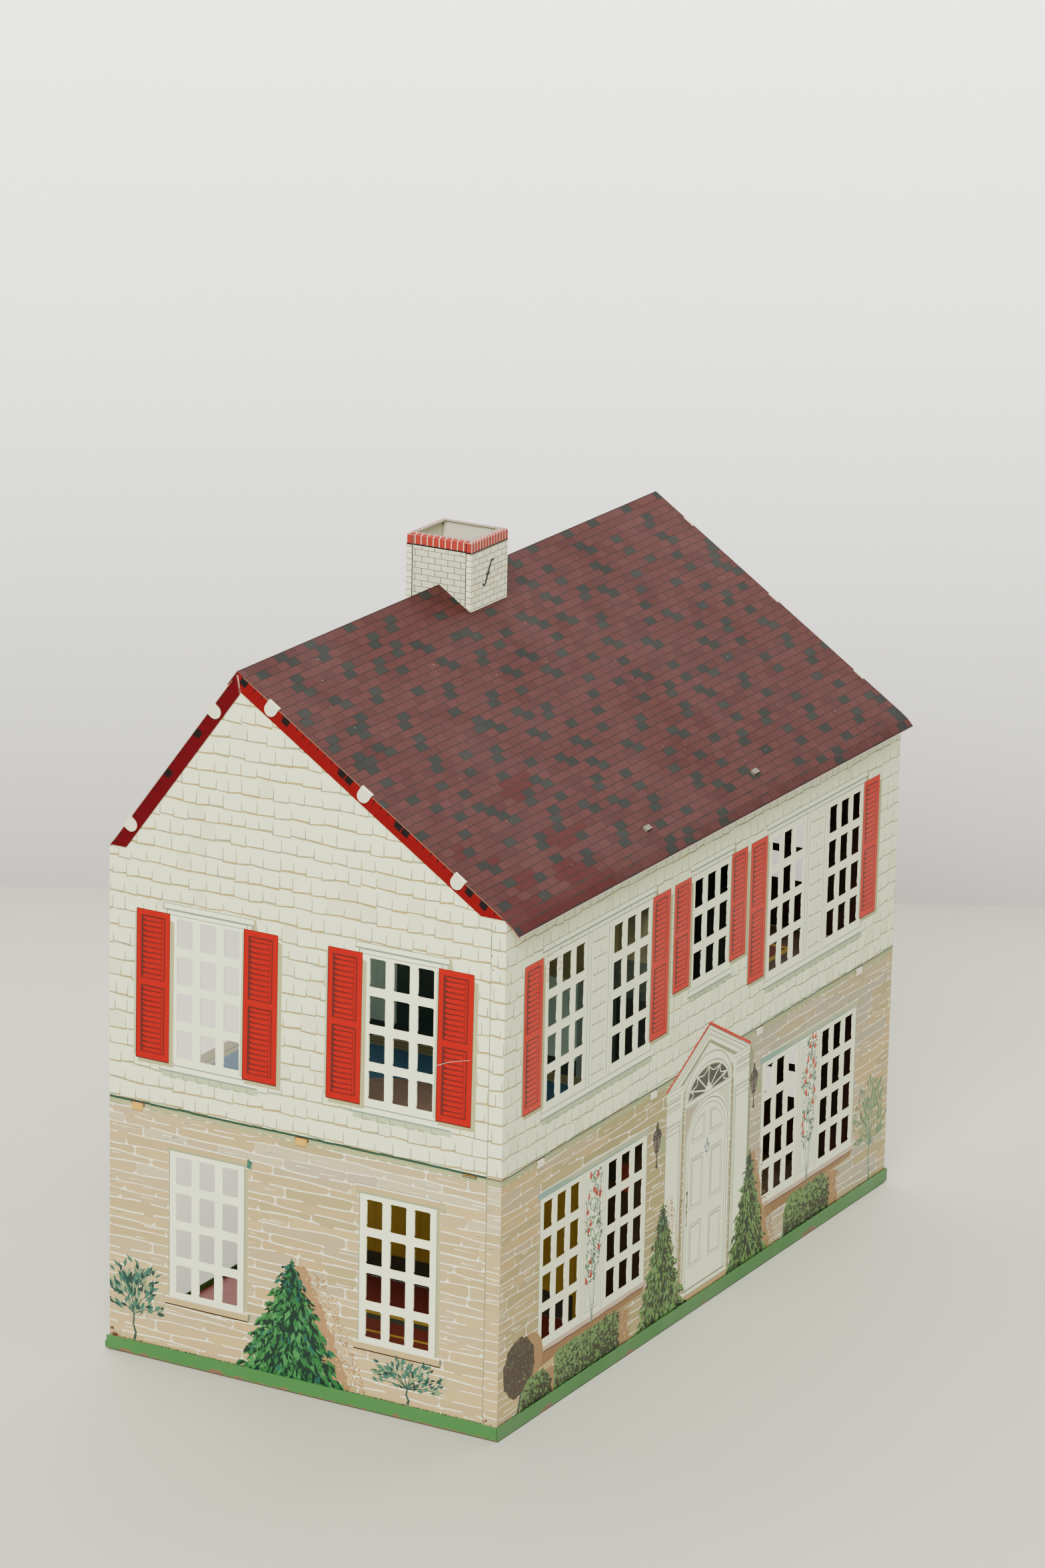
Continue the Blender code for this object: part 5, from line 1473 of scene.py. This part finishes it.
def chimney_flange(facing, side, name, foot, rise):
    """The flange of the front or rear face, wrapped onto one side, with a dark line along its edge: painted
    shade in the seam.
    """
    top = CHIMNEY_TOP - CHIMNEY_ROLL
    outer = side * facing * CHIMNEY_HALF[1]
    inner = outer - side * facing * SIDE_FLANGE
    u0, u1 = sorted((outer, inner))
    foot += 0.2
    high_foot = foot + SIDE_FLANGE * rise
    feet = (foot, high_foot) if outer < inner else (high_foot, foot)
    art = chimney_print(f"flange_{name}_{SIDES[side]}", (CHIMNEY_X + side * CHIMNEY_HALF[0], RIDGE_Y, 0),
                        (0, side, 0), UP,
                        [(u0, feet[0]), (u1, feet[1]), (u1, top), (u0, top)])
    bricks(art, u0, u1, foot - 2.2, BRICK_TOP, 311)
    soldier(art, u0, u1, SOLDIER_FOOT, top, SOLDIER_PITCH[1])
    a, b = sorted((inner, inner + (SEAM if inner == u0 else -SEAM)))
    art.box("rake_black", a, 310, b, CHIMNEY_TOP)
    art.build()


def chimney_side(side):
    """One of the chimney's side sheets, which lie one layer inside the flanges."""
    half, top = CHIMNEY_HALF[1] - 0.8, CHIMNEY_TOP - CHIMNEY_ROLL
    front_foot, rear_foot = RIDGE_TOP - half * FRONT_RISE - 4, RIDGE_TOP - half * REAR_RISE - 4
    points = [(-half, front_foot), (0, RIDGE_TOP - 4), (half, rear_foot), (half, top), (-half, top)]
    if side < 0:
        points = [(-u, v) for u, v in reversed(points)]
    art = chimney_print("side_" + SIDES[side], (CHIMNEY_X + side * (CHIMNEY_HALF[0] - LAYER), RIDGE_Y, 0),
                        (0, side, 0), UP,
                        points)
    bricks(art, -half, half, 310, BRICK_TOP, 321 + side, "brick_side")
    soldier(art, -half, half, SOLDIER_FOOT, top, SOLDIER_PITCH[1])
    art.build()


def chimney_rim(turn):
    """The rounded rim on one of the four sides: a slanting strip, then a level one."""
    slant = math.sqrt(0.5)
    across = Vector(((1, 0, 0), (0, 1, 0), (-1, 0, 0), (0, -1, 0))[turn])
    inward = Vector((-across.y, across.x, 0))
    if turn % 2:
        face, reach, deep, pitch = CHIMNEY_HALF[0] - LAYER, 16.1, 2.3, SOLDIER_PITCH[1]
    else:
        face, reach, deep, pitch = CHIMNEY_HALF[1], 16.35, 3.0, SOLDIER_PITCH[0]
    start = Vector((CHIMNEY_X, RIDGE_Y, CHIMNEY_TOP - CHIMNEY_ROLL)) - inward * face
    bevel = chimney_print(f"bevel_{turn}", start, across, inward * slant + Vector((0, 0, slant)),
                          [(-reach, 0.0), (reach, 0.0), (15.3, 1.08), (-15.3, 1.08)], "brick")
    soldier(bevel, -reach, reach, 0.0, 1.1, pitch)
    bevel.build()
    start = Vector((CHIMNEY_X, RIDGE_Y, CHIMNEY_TOP)) - inward * (face - CHIMNEY_ROLL)
    edge, far = deep - CHIMNEY_ROLL, 16.4 - deep
    lip = chimney_print(f"lip_{turn}", start, across, inward,
                        [(-15.3, 0.05), (15.3, 0.05), (far, edge - 0.05), (-far, edge - 0.05)], "brick")
    # the rim's level top in a greyer red: a painted sheen
    soldier(lip, -reach, reach, 0.0, deep, pitch, "soldier_top_sheen")
    # a dark line along the lip's inner edge: painted shade where the rim turns down into the chimney
    lip.box("rake_black", -17, edge - 0.35, 17, deep)
    lip.build()


def chimney_art():
    """Painted bricks with a red soldier course round the top."""
    for facing, name, rise in ((-1, "front", FRONT_RISE), (1, "rear", REAR_RISE)):
        foot = RIDGE_TOP - CHIMNEY_HALF[1] * rise + 0.6
        chimney_face(facing, name, foot)
        for side in (-1, 1):
            chimney_flange(facing, side, name, foot, rise)
    for side in (-1, 1):
        chimney_side(side)
    for turn in range(4):
        chimney_rim(turn)


def soldier(art, u0, u1, v0, v1, pitch, ink="soldier"):
    """Red bricks on end with pale joints and a dark line under them."""
    art.box("rake_black", u0, v0 - 0.75, u1, v0)
    art.box("brick", u0, v0, u1, v1)
    u = u0 + 0.2
    while u < u1:
        art.box(ink, u, v0, u + pitch - 0.32, v1)
        u += pitch


# --- Rooms ---

GABLE_INSIDE = 190.15
DOWNSTAIRS = (1.1, 120.6)             # floor and ceiling
UPSTAIRS = (121.0, WALL_EDGE)
# The lower right, upper middle and upper right rooms have dark papers: painted shade that stands in for the
# gloom deep inside them
ROOMS = (
    # name, x from, x to, (floor, ceiling), wall inks, skirting, skirting height
    ("lower_left", -GABLE_INSIDE, LOWER_PARTITION, DOWNSTAIRS, ("mustard", "mustard_b"), "skirting", 12.5),
    ("lower_right", LOWER_PARTITION + SHEET, GABLE_INSIDE, DOWNSTAIRS, ("wine", "wine_b"), "umber", 9.0),
    ("upper_left", -GABLE_INSIDE, PARTITIONS[0], UPSTAIRS, ("teal", "teal_b"), "teal_dark", 8.0),
    ("upper_middle", PARTITIONS[0] + SHEET, PARTITIONS[1], UPSTAIRS, ("bottle", "bottle_b"), "umber", 8.0),
    ("upper_right", PARTITIONS[1] + SHEET, GABLE_INSIDE, UPSTAIRS, ("plum", "plum_b"), "umber", 8.0),
)


def wall_paper(art, u0, u1, v0, v1, inks, skirting, skirting_top):
    """Papered wall with stripes, a skirting board and a line over it."""
    u = u0 + 4
    while u < u1:
        art.box(inks[1], u, v0, min(u + 1.2, u1), v1)
        u += 8
    art.box(skirting, u0, v0, u1, v0 + skirting_top)
    art.box(inks[1], u0, v0 + skirting_top, u1, v0 + skirting_top + 0.8)


# Curtains, their folds, pelmet, outline and casing, in a dark room and in a light one. The dark set is
# painted shade, like the dark papers of those rooms.
DARK_WINDOW = ("umber", "deep_shade", "wine", "deep_shade", "umber")
LIGHT_WINDOW = ("curtain", "olive_b", "olive", "frame_line", "frame")


def inside_window(art, centre, sill, rows, dark):
    """A window seen from the room, with its openings."""
    high = sill + (rows - 1) * PITCH[1] + PANE[1]
    cloth, fold, pelmet, outline, casing = DARK_WINDOW if dark else LIGHT_WINDOW
    art.box(cloth, centre - 27, sill - 12, centre + 27, high + 8)
    for k in range(5):
        for side in (-1, 1):
            u = centre + side * (21.4 + k * 1.2)
            art.box(fold, u - 0.12, sill - 11, u + 0.12, high + 4)
    art.box(pelmet, centre - 28, high + 4.5, centre + 28, high + 9)
    art.box(outline, centre - 20.4, sill - 4.2, centre + 20.4, high + 4.2)
    art.box(casing, centre - 20, sill - 4, centre + 20, high + 4)
    pane_holes(art, centre, sill, rows)


def room_art():
    """Each room's front wall, floor and two side walls."""
    for name, x0, x1, (floor, ceiling), inks, skirting, skirting_top in ROOMS:
        upper = floor == UPSTAIRS[0]
        sill = UPPER_SILL if upper else LOWER_SILL
        paper = (inks, skirting, skirting_top)
        # inside of the front wall, seen from behind: u runs towards -X
        art = Print(f"print_{name}_front_inside", (0, FRONT_Y + SHEET, 0), (-1, 0, 0), UP,
                    rectangle(-x1, floor + 0.2, -x0, ceiling - 0.6), inks[0], finish="inside", lift=0.04)
        wall_paper(art, -x1, -x0, floor, ceiling, *paper)
        for centre in FRONT_WINDOWS:
            if x0 < centre < x1:
                inside_window(art, -centre, sill, 4, skirting == "umber")
        if upper and x0 < MIDDLE_WINDOW < x1:
            inside_window(art, -MIDDLE_WINDOW, sill + PITCH[1], 3, skirting == "umber")
        art.build()
        y0, y1 = FRONT_Y + LAYER, (REAR_Y - 4.6 if upper else REAR_Y + 0.7)
        art = Print(f"print_{name}_floor", (0, 0, floor), (1, 0, 0), (0, 1, 0), rectangle(x0, y0, x1, y1),
                    "olive",
                    finish="inside", lift=0.05)
        floor_art(art, name, x0, x1, y0, y1)
        art.build()
        walls = [(x0, 1, "left"), (x1, -1, "right")]
        walls.sort(key=lambda wall: abs(wall[0]) != GABLE_INSIDE)
        for x, facing, partition in walls:
            kind = "gable" if abs(x) == GABLE_INSIDE else partition
            side_art(f"{name}_{kind}_inside", x, facing, floor, ceiling, paper)


def gable_inside(facing, y_front, y_rear, floor):
    """The inside of a gable under both slopes of the roof."""
    z_front = WALL_TOP + FRONT_RISE * (y_front - FRONT_Y) - 1.4
    z_rear = WALL_TOP + REAR_RISE * (REAR_Y - y_rear) - 2.6
    points = [(facing * y_front, floor), (facing * y_rear, floor), (facing * y_rear, z_rear),
              (facing * RIDGE_Y, RIDGE_TOP - 3), (facing * y_front, z_front)]
    return points if facing > 0 else list(reversed(points))


def side_strips(name, y_front, floor, high):
    """What else is printed on a partition: ink, two distances from the front wall to the back, low and high.

    The paper darkens in bands towards the front corner: painted shade, where little light reaches.
    """
    if name.startswith("upper_left_right"):
        # painted shade: bands of dimmer teal and olive, darkest nearest the front corner
        return (("teal_dark", 2, 35, floor, 192), ("shaded_teal_3", y_front, -60, floor, 167),
                ("shaded_teal_2", y_front, -65, floor, 167),
                ("olive_b", y_front, -62, 167, high), ("shaded_olive", y_front, -73, 178, high),
                ("olive_b", -80.5, -74, 180, high), ("shaded_teal", y_front, -73, 160, 182),
                ("shaded_teal_1", y_front, -73, floor, 168), ("deep_shade", y_front, -80, floor, 164))
    if name.startswith("lower_left_right"):
        # painted shade: mustard dimming to umber nearest the front corner
        return (("mustard_b", y_front, -60, floor, high), ("shaded_mustard", y_front, -66, floor, high),
                ("umber", y_front, -73, floor, high), ("floor_red", -90, -82, 70, 84),
                ("deep_shade", -84, -77.5, 74, 90),
                ("brick_red", -40, -12, 58, 96), ("skirting", -37.5, -14.5, 60.5, 93.5))
    return ()


def side_art(name, x, facing, floor, ceiling, paper):
    """A wall across the house, seen from inside. facing is the way it looks along X."""
    upper = floor == UPSTAIRS[0]
    is_gable = "gable" in name
    y_front, y_rear = FRONT_Y + LAYER, REAR_Y - (4.2 if is_gable else 5.6)
    a, b = sorted((facing * y_front, facing * y_rear))
    if is_gable and upper:
        high = RIDGE_TOP
        points = gable_inside(facing, y_front, y_rear, floor + 0.3)
    else:
        high = ceiling - 0.4 if is_gable else 238.0 if upper else 119.4
        points = rectangle(a, floor + 0.3, b, high)
    art = Print("print_" + name, (x, 0, 0), (0, facing, 0), UP, points, paper[0][0], finish="inside",
                lift=0.04)
    wall_paper(art, a, b, floor, high, *paper)
    if name.startswith("upper_left_right"):
        art.box("olive", a, 167.0, b, high)
        art.box("olive_b", a, 167.0, b, 168.2)
    for ink, y_from, y_to, low, top in side_strips(name, y_front, floor, high):
        near, far = sorted((facing * y_from, facing * y_to))
        art.box(ink, near, low, far, top)
    if is_gable:
        for offset in GABLE_WINDOWS:
            inside_window(art, facing * (FRONT_Y + offset), UPPER_SILL if upper else LOWER_SILL, 4,
                          paper[1] == "umber")
    art.build()


ROUND_RUG = (("rug_b", 29.5, 40), ("rug", 28.3, 40), ("rug_b", 22, 36), ("rug", 21, 36))
# Carpet, border and middle
CARPETS = {"upper_middle": ("carpet", "olive", "carpet_b"), "upper_right": ("brick_red", "mustard", "wine"),
           "lower_right": ("wine", "olive_b", "brick_red")}


def floor_art(art, name, x0, x1, y0, y1):
    """Carpets, a round rug and boards."""
    if name == "upper_left":
        rng = random.Random(name)
        art.box("dark_line", x0 + 6.6, y0 + 6.6, x1 - 6.6, y1 - 6.6)
        art.box("olive", x0 + 7.2, y0 + 7.2, x1 - 7.2, y1 - 7.2)
        art.box("carpet", x0 + 10.4, y0 + 10.4, x1 - 10.4, y1 - 10.4)
        for _ in range(90):
            u, v = rng.uniform(x0 + 13, x1 - 13), rng.uniform(y0 + 13, y1 - 13)
            art.disc("carpet_b", u, v, 1.3, 0.8, 6, rng.uniform(0, 3))
        for ink, radius, steps in ROUND_RUG:
            art.disc(ink, -128, -2, radius, radius, steps)
    elif name == "lower_left":
        for inset, ink in ((0, "floor_red"), (33, "skirting"), (35, "floor_red"), (38, "mustard"),
                           (41, "skirting"), (46, "floor_red"), (58, "mustard"), (60, "floor_red")):
            art.box(ink, x0 + inset, y0 + inset, x1 - inset, y1 - inset)
    else:
        for row in range(int(math.ceil((y1 - y0) / 6))):
            y = y0 + row * 6
            art.box("boards" if row % 2 else "boards_b", x0, y, x1, min(y + 6, y1))
        cx, cy = (x0 + x1) / 2, (y0 + y1) / 2
        w, h = (x1 - x0) * 0.32, (y1 - y0) * 0.3
        field, border, middle = CARPETS[name]
        for ink, inset in ((border, 0), (field, 3), (middle, 9)):
            art.box(ink, cx - w + inset, cy - h + inset, cx + w - inset, cy + h - inset)


# --- Sheets, pane lips ---

def constant_material(name, colour, roughness, coat=0.1):
    """Enamel or bare metal of one colour."""
    material, tree, shader = new_material(name, colour)
    printed_surface(tree, shader, roughness - 0.06, roughness + 0.08, coat)
    return material


def tray_material():
    """Green enamel, rusting along its lower edge and at the corners."""
    material, tree, shader = new_material("green_tray")
    printed_surface(tree, shader, 0.36, 0.52, 0.15)
    position, axes = object_position(tree)
    fine = noise_value(tree, position, 420.0, 4.0, 0.7)
    broad = noise_value(tree, position, 34.0, 3.0, 0.6)
    low = remap(tree, axes["Z"], 0.0, 0.0042, 1.0, 0.0)
    patch = remap(tree, broad, 0.53, 0.7, 0.0, 1.0)
    corner = remap(tree, maths(tree, "ABSOLUTE", axes["X"], 0.0), 0.186, 0.1925, 0.0, 1.0)
    places = maths(tree, "ADD", patch, maths(tree, "MULTIPLY", corner, 0.55))
    amount = maths(tree, "MULTIPLY", places, maths(tree, "ADD", low, 0.25))
    grain = maths(tree, "MULTIPLY", maths(tree, "SUBTRACT", fine, 0.5), 0.55)
    mask = remap(tree, maths(tree, "ADD", amount, grain), 0.5, 0.62, 0.0, 1.0)
    rust = mixed(tree, fine, (0.1, 0.045, 0.024), (0.2, 0.12, 0.07))
    paint = mixed(tree, broad, (0.033, 0.14, 0.031), (0.045, 0.162, 0.041))
    tree.links.new(mixed(tree, mask, paint, rust), shader.inputs["Base Color"])
    return material


def floor_material():
    """Cream enamel, turning yellow at the two ends of the floor sheet."""
    material, tree, shader = new_material("floor_enamel")
    printed_surface(tree, shader, 0.36, 0.5, 0.1)
    axes = object_position(tree)[1]
    ends = remap(tree, maths(tree, "ABSOLUTE", axes["X"]), 0.1888, 0.1893, 0.0, 1.0)
    tree.links.new(mixed(tree, ends, (0.72, 0.66, 0.48), (0.56, 0.31, 0.035)), shader.inputs["Base Color"])
    return material


def dress_sheets(nodes):
    """The bare sheets: what shows at cut edges, tabs, hems and undersides."""
    cream = constant_material("cream_enamel", (0.66, 0.66, 0.45), 0.42)
    roof = constant_material("roof_enamel", (0.17, 0.04, 0.035), 0.4)
    grey = constant_material("partition_enamel", (0.125, 0.11, 0.082), 0.6, 0.0)
    inner = constant_material("inside_enamel", (0.42, 0.42, 0.32), 0.48, 0.0)
    brick = constant_material("chimney_enamel", (0.5, 0.48, 0.36), 0.45)
    for material, names in (
            (tray_material(), ("ground_floor",)), (floor_material(), ("upper_floor",)),
            (cream, ("front_wall", "left_gable", "right_gable")), (inner, ("lower_partition",)),
            (grey, ("upper_partition_left", "upper_partition_right")), (roof, ("front_roof", "rear_roof")),
            (brick, ("chimney_front", "chimney_rear", "chimney_left_side", "chimney_right_side"))):
        for name in names:
            mesh = nodes[name].data
            mesh.materials.clear()
            mesh.materials.append(material)


def add_lip(work, place, tall, rng):
    """One torn lip standing off a pane's jamb. place(across, deep, high) gives a point of the row frame."""
    thick = 0.2
    rings = []
    count = 6
    for k in range(count + 1):
        high = -tall / 2 + tall * k / count
        deep = rng.uniform(0.34, 0.58)
        corners = ((0, 0), (thick, 0), (thick, deep), (0, deep))
        rings.append([work.verts.new(place(across, inward, high) * MM) for across, inward in corners])
    faces = []
    for low, top in zip(rings[:-1], rings[1:]):
        rusty = rng.random() < 0.3
        for i in range(4):
            face = work.faces.new((low[i], low[(i + 1) % 4], top[(i + 1) % 4], top[i]))
            face.material_index = 1 if rusty and i == 2 else 0
            faces.append(face)
    faces.append(work.faces.new(list(reversed(rings[0]))))
    faces.append(work.faces.new(rings[-1]))
    bmesh.ops.recalc_face_normals(work, faces=faces)


def add_lips(work, place, sill, rows, rng):
    """Lips down both jambs of each pane of a window. place takes the distance from the window's middle."""
    edge = PANE[0] / 2 - 0.02
    for column in (-1, 0, 1):
        for row in range(rows):
            u, v = column * PITCH[0], sill + row * PITCH[1] + PANE[1] / 2
            for side in (-1, 1):
                add_lip(work, lambda a, deep, high: place(u, side * (edge - a), deep, v + high),
                        PANE[1] - 2.7, rng)


def pane_lips():
    """The punched panes' edges, turned inwards down both jambs."""
    rng = random.Random(51)
    work = bmesh.new()
    windows = [(c, UPPER_SILL, 4) for c in FRONT_WINDOWS] + [(c, LOWER_SILL, 4) for c in FRONT_WINDOWS]
    windows.append((MIDDLE_WINDOW, UPPER_SILL + PITCH[1], 3))
    for centre, sill, rows in windows:
        add_lips(work, lambda u, du, deep, z: Vector((centre + u + du, FRONT_Y + 0.05 + deep, z)), sill, rows,
                 rng)
    for side in (-1, 1):
        face = GABLE_X - 0.05
        for offset in GABLE_WINDOWS:
            middle = FRONT_Y + offset
            for sill in (UPPER_SILL, LOWER_SILL):
                add_lips(work, lambda u, du, deep, z: Vector((side * (face - deep), middle + u + du, z)),
                         sill, 4, rng)
    mesh = bpy.data.meshes.new("pane_lips")
    work.to_mesh(mesh)
    work.free()
    mesh.materials.append(constant_material("lip_enamel", (0.78, 0.82, 0.6), 0.4))
    mesh.materials.append(constant_material("lip_rust", (0.2, 0.12, 0.06), 0.6))
    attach(add_object("pane_lips", mesh), "house")


# --- Stage ---

def plain_material(name, colour, roughness):
    """An even, matt material for the stage."""
    material, _, shader = new_material(name, colour)
    shader.inputs["Roughness"].default_value = roughness
    return material


def quad(name, corners, material):
    """One flat face of the stage."""
    mesh = bpy.data.meshes.new(name)
    mesh.from_pydata([Vector(corner) for corner in corners], [], [tuple(range(len(corners)))])
    mesh.materials.append(material)
    add_object(name, mesh)


def area_light(name, location, target, size, power, colour=(1, 1, 1)):
    """A rectangular lamp that faces the target."""
    data = bpy.data.lights.new(name, "AREA")
    data.shape = "RECTANGLE"
    data.size, data.size_y = size
    data.energy = power
    data.color = colour
    lamp = add_object(name, data)
    lamp.location = location
    lamp.rotation_euler = (Vector(target) - Vector(location)).to_track_quat("-Z", "Y").to_euler()
    lamp.visible_camera = False


VIEW_AZIMUTH = math.radians(-60.78)
VIEW_ELEVATION = math.radians(16.94)
VIEW_ROLL = math.radians(1.17)
CAMERA_AT = (-2.3528, -1.31424, 1.0572)
LENS = 140.25
SENSOR = 36.0


def add_camera():
    """The camera looks down a little on the house's front left corner, from a few metres away."""
    data = bpy.data.cameras.new("camera")
    data.sensor_fit = "VERTICAL"
    data.sensor_height = SENSOR
    data.lens = LENS
    data.clip_end = 50
    camera = add_object("camera", data)
    level = math.cos(VIEW_ELEVATION)
    look = Vector((-math.sin(VIEW_AZIMUTH) * level, math.cos(VIEW_AZIMUTH) * level,
                   -math.sin(VIEW_ELEVATION)))
    right = look.cross(Vector((0, 0, 1))).normalized()
    up = right.cross(look).normalized()
    rolled_right = right * math.cos(VIEW_ROLL) + up * math.sin(VIEW_ROLL)
    rolled_up = up * math.cos(VIEW_ROLL) - right * math.sin(VIEW_ROLL)
    matrix = Matrix((rolled_right, rolled_up, -look)).transposed().to_4x4()
    matrix.translation = Vector(CAMERA_AT)
    camera.matrix_world = matrix
    bpy.context.scene.camera = camera


def one_sided(material):
    """Clear from behind, so that the backdrop never stands between the house and a view of its back."""
    tree = material.node_tree
    shader = tree.nodes["Principled BSDF"]
    clear = tree.nodes.new("ShaderNodeBsdfTransparent")
    side = tree.nodes.new("ShaderNodeNewGeometry").outputs["Backfacing"]
    mix = tree.nodes.new("ShaderNodeMixShader")
    tree.links.new(side, mix.inputs[0])
    tree.links.new(shader.outputs[0], mix.inputs[1])
    tree.links.new(clear.outputs[0], mix.inputs[2])
    tree.links.new(mix.outputs[0], tree.nodes["Material Output"].inputs["Surface"])


def shade_backdrop(material):
    """Paler upwards, as a wall lit from above."""
    tree = material.node_tree
    height = remap(tree, object_position(tree)[1]["Z"], 0.0, 0.33, 0.0, 1.0)
    colour = mixed(tree, height, (0.42, 0.415, 0.4), (0.94, 0.94, 0.94))
    tree.links.new(colour, tree.nodes["Principled BSDF"].inputs["Base Color"])


def add_stage():
    look = Vector((-math.sin(VIEW_AZIMUTH), math.cos(VIEW_AZIMUTH), 0))
    right = Vector((look.y, -look.x, 0))
    floor = plain_material("table_paint", (0.425, 0.425, 0.345), 0.6)
    wall = plain_material("backdrop_paint", (0.8, 0.8, 0.8), 0.8)
    shade_backdrop(wall)
    one_sided(wall)
    far, side = 0.56, 8.0
    quad("table", [(-9, -9, 0), (9, -9, 0), (9, 9, 0), (-9, 9, 0)], floor)
    base = look * far
    top = Vector((0, 0, 5.0))
    quad("backdrop", [base - right * side, base + right * side, base + right * side + top,
                      base - right * side + top], wall)
    world = bpy.data.worlds.new("studio")
    world.use_nodes = True
    background = world.node_tree.nodes["Background"]
    background.inputs["Color"].default_value = (1.0, 0.99, 0.97, 1)
    background.inputs["Strength"].default_value = 0.42
    bpy.context.scene.world = world
    area_light("key", Vector((-2.31, -0.82, 2.18)), (0, 0, 0.15), (1.5, 1.5), 217, (1.0, 0.975, 0.92))
    area_light("wash", look * 0.2 + Vector((0, 0, 1.05)), look * far + Vector((0, 0, 1.0)), (2.6, 0.5), 42)


# --- The scene ---

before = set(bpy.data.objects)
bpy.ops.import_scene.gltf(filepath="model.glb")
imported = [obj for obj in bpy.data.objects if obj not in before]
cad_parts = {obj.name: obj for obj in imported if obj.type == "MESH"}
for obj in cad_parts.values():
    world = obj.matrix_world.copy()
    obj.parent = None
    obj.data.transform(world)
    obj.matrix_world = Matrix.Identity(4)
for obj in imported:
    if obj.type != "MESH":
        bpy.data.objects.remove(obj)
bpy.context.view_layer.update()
add_camera()
add_stage()
dress_sheets(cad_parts)
front_art()
for end in (-1, 1):
    flange_art(end)
    gable_art(end)
front_slope()
eave_art()
ridge_art()
rake_art(-1)
rake_art(1)
chimney_art()
room_art()
pane_lips()
